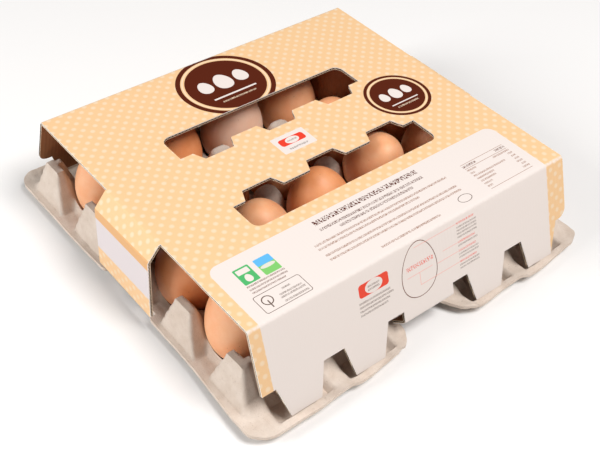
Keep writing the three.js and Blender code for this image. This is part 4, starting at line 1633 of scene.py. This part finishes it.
    def build(
        self, printed: PrintedLiner, kraft: KraftLiner, white_edge: PlainPaper, cut_edge: PlainPaper,
        medium: PlainPaper,
    ) -> list[bpy.types.Object]:
        """Builds the board's three papers.

        Args:
            printed: finish of the outer face.
            kraft: finish of the inner face.
            white_edge: finish of the outer liner's cut edge, white paper raised to pure white as painted
                light.
            cut_edge: finish of the inner liner's and the flutes' cut edges, pale cut fibres drawn paler still
                as painted light.
            medium: finish of the flutes and of the liners' faces between them, near-black brown as painted
                shade.

        Returns:
            The outer liner, the inner liner and the flutes.
        """
        outer = printed.build(self.panel_from, self.panel.folds[0])
        brown, edge, cut, shade_dark_fluting = (finish.build() for finish in (kraft, white_edge, cut_edge, medium))
        net, triangles = self.triangulate()
        # The liners' faces inside the board take the fluting finish too: painted shade in the flute tunnels.
        face = self.sheet("printed_liner", 0.0, self.coated, net, triangles, [outer, edge, shade_dark_fluting])
        under = self.board - self.liner
        back = self.sheet("kraft_liner", under, self.board, net, triangles, [shade_dark_fluting, cut, brown])
        return [face, back, self.build_flutes(shade_dark_fluting, cut)]


# ---------------------------------------------------------------------------
# The eggs
# ---------------------------------------------------------------------------


class ShellTone(Enum):
    """The shells' colours: ground colour and the cloud over it."""

    APRICOT = ("#EFA776", "#F3B88C")
    RUSSET = ("#E8945C", "#EFA470")
    TAN = ("#DC9364", "#E4A377")
    BLUSH = ("#E8BFA4", "#EECCB6")


@dataclass
class EggClutch:
    """The twenty eggs, each fitted to its CAD egg's poles and girth."""

    bluntness: float = -0.13
    widest: float = 1.008
    unevenness: float = 1.0
    segments: int = 56
    rings: int = 36
    blush: tuple[str, ...] = ("egg_r4_c3",)
    russet: tuple[str, ...] = ("egg_r2_c1", "egg_r2_c3", "egg_r4_c2", "egg_r3_c5", "egg_r1_c4")
    tones: dict[ShellTone, bpy.types.Material] = field(default_factory=dict)

    def tone(self, name: str, number: int) -> ShellTone:
        """The colour of one egg.

        Args:
            name: the CAD egg's name.
            number: its place in the clutch.

        Returns:
            The colour.
        """
        if name in self.blush:
            return ShellTone.BLUSH
        if name in self.russet:
            return ShellTone.RUSSET
        return ShellTone.TAN if number % 3 == 1 else ShellTone.APRICOT

    def shell_tree(self) -> bpy.types.NodeTree:
        """Makes a node tree that gives one egg, point up, with its foot at the origin.

        Returns:
            The tree.
        """
        sizes = ("Length", "Girth Radius", "Bluntness", "Unevenness", "Seed")
        sockets = {"Geometry": "Geometry", **dict.fromkeys(sizes, "Float"), "Shell": "Material"}
        tree, add = start_tree("hen_egg", sockets, "Egg")
        given = add("NodeGroupInput").outputs
        ball = add("GeometryNodeMeshUVSphere", (self.segments, self.rings, 1.0))
        position = add("GeometryNodeInputPosition")
        x, y, z = add("SeparateXYZ", (position,)).outputs
        taper = ("MULTIPLY_ADD", given["Bluntness"], 1.0)
        girth = chain(add, "Math", z, taper, ("MULTIPLY", given["Girth Radius"]))
        half = chain(add, "Math", given["Length"], ("MULTIPLY", 0.5))
        across, along = (chain(add, "Math", part, ("MULTIPLY", girth)) for part in (x, y))
        form = add("CombineXYZ", (across, along, chain(add, "Math", z, ("MULTIPLY_ADD", half, half))))
        noise = {"Vector": position, "W": given["Seed"], "Scale": 0.9, "Detail": 1.0}
        swell = add("TexNoise", noise, noise_dimensions="4D")
        amount = chain(add, "Math", swell, ("SUBTRACT", 0.5), ("MULTIPLY", given["Unevenness"]))
        push = add("VectorMath", {0: position, "Scale": amount}, operation="SCALE")
        whole = chain(add, "VectorMath", form, ("ADD", push))
        shaped = add("GeometryNodeSetPosition", {"Geometry": ball, "Position": whole})
        soft = add("GeometryNodeSetShadeSmooth", {"Geometry": shaped, "Shade Smooth": True})
        end_tree(add, soft, given["Shell"], "Egg")
        return tree

    def build_egg(self, node: str, number: int, tree: bpy.types.NodeTree) -> bpy.types.Object:
        """Makes one egg and stands it where its CAD egg stands.

        Args:
            node: the CAD egg's name.
            number: its place in the clutch, for its seed and colour.
            tree: the egg's node tree.

        Returns:
            The egg.
        """
        solid = np.array([v.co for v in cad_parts[node].data.vertices])
        apart = np.linalg.norm(solid[:, None] - solid[None, :], axis=2)
        poles = sorted(np.unravel_index(apart.argmax(), apart.shape), key=lambda i: solid[i, 2])
        foot, crown = (Vector(solid[i]) for i in poles)
        axis = np.array((crown - foot).normalized())
        spread = solid - np.array(foot)
        girth = float(np.linalg.norm(spread - np.outer(spread @ axis, axis), axis=1).max()) / self.widest
        inputs = {
            "Length": (crown - foot).length, "Girth Radius": girth, "Bluntness": self.bluntness,
            "Unevenness": self.unevenness * MM, "Seed": float(number),
            "Shell": self.tones[self.tone(node, number)],
        }
        carrier = link_object("egg_carrier", bpy.data.meshes.new("egg_carrier"))
        egg = baked(carrier, node.replace("egg", "hen_egg"), tree, inputs)
        turn = Vector((0, 0, 1)).rotation_difference(crown - foot).to_matrix().to_4x4()
        egg.data.transform(Matrix.Translation(foot) @ turn)
        return egg

    def build(self) -> list[tuple[bpy.types.Object, str, str]]:
        """Makes all the eggs.

        Returns:
            For each egg, the object, its CAD node and a slot name.
        """
        for tone in ShellTone:
            shell, cloud = tone.value
            self.tones[tone] = Eggshell(f"eggshell_{tone.name.lower()}", shell, cloud).build()
        tree = self.shell_tree()
        eggs = []
        for number, node in enumerate(sorted(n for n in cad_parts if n.startswith("egg_"))):
            slot = "pale_shell" if node in self.blush else "brown_shell"
            eggs.append((self.build_egg(node, number, tree), node, slot))
        return eggs


# ---------------------------------------------------------------------------
# The studio
# ---------------------------------------------------------------------------


@dataclass
class Studio:
    """A pale floor, two soft lights and the camera."""

    lens: float = 60.22
    camera_place: tuple[float, float, float] = (-0.33759, -0.39196, 0.46845)
    camera_turn: tuple[float, float, float] = (47.346, -2.495, -38.774)
    sky: str = "#FFFFFF"
    sky_strength: float = 0.2
    floor_colour: str = "#EEEDEC"
    lights: Sequence[tuple[str, Sequence[float], float, float, str]] = (
        ("key", (0.3, -1.02, 1.87), 0.85, 41.7, "#FFFDFC"),
        ("side", (-1.6, 0.48, 0.95), 0.8, 23.0, "#FFFFFF"),
    )

    def build(self) -> None:
        """Sets up the floor, the lights, the camera and the colour handling."""
        self.build_floor()
        self.build_lights()
        self.build_camera()
        view = bpy.context.scene.view_settings
        view.view_transform, view.look = "Standard", "None"

    def build_floor(self) -> None:
        """Lays a wide matt floor."""
        reach = 3000.0
        corners = np.array([[-reach, -reach, 0], [reach, -reach, 0], [reach, reach, 0], [-reach, reach, 0]])
        looks = {"Base Color": srgb(self.floor_colour), "Roughness": 0.95, "Specular IOR Level": 0.1}
        paper = end_material(start_material("studio_paper")[0], looks)
        make_mesh("studio_floor", corners, [(0, 1, 2, 3)], [paper])

    def area(self, name: str, place: Sequence[float], size: float, power: float, colour: str) -> None:
        """Adds a square soft light that faces the pack.

        Args:
            name: of the light.
            place: where it stands, in metres.
            size: its side, in metres.
            power: in watts.
            colour: as sRGB hex.
        """
        lamp = bpy.data.lights.new(name, "AREA")
        lamp.energy = power
        lamp.size = size
        lamp.color = srgb(colour)[:3]
        light = link_object(name, lamp)
        light.location = place
        light.rotation_euler = (-Vector(place)).to_track_quat("-Z", "Y").to_euler()

    def build_lights(self) -> None:
        """Adds the sky, a high key light from the front right and a low one from the left."""
        world = bpy.data.worlds.new("studio_sky")
        world.use_nodes = True
        wire(world.node_tree.nodes["Background"], {"Color": srgb(self.sky), "Strength": self.sky_strength})
        bpy.context.scene.world = world
        for light in self.lights:
            self.area(*light)

    def build_camera(self) -> None:
        """Adds the camera."""
        lens = bpy.data.cameras.new("camera")
        lens.lens = self.lens
        lens.sensor_width = 36.0
        camera = link_object("camera", lens)
        camera.location = self.camera_place
        camera.rotation_euler = [math.radians(turn) for turn in self.camera_turn]
        bpy.context.scene.camera = camera


def main() -> None:
    """Builds the studio and the pack's pieces in order."""
    logging.basicConfig(level=logging.INFO, format="%(message)s")
    Studio().build()
    tray = PulpTray().build(MouldedPulp().build())
    settle(tray, "pulp", "tray")
    papers = CorrugatedSleeve().build(
        PrintedLiner(),
        KraftLiner(),
        # The cut edges are drawn paler than their papers: partly the pale cut paper, partly painted light on
        # edges that lie in shade.
        PlainPaper("coated_edge_with_painted_light", "#FFFFFF", "#FBF7F3"),
        PlainPaper("pale_kraft_edge_with_painted_light", "#F3E2CC", "#DFC5A4"),
        # The fluting paper is drawn near-black brown: painted shade for the dark tunnels inside the board.
        PlainPaper("fluting_paper_in_painted_shade", "#442917", "#331D10"),
    )
    for paper in papers:
        settle(paper, "board", "sleeve")
    for egg, node, slot in EggClutch().build():
        settle(egg, slot, node)


if __name__ == "__main__":
    main()
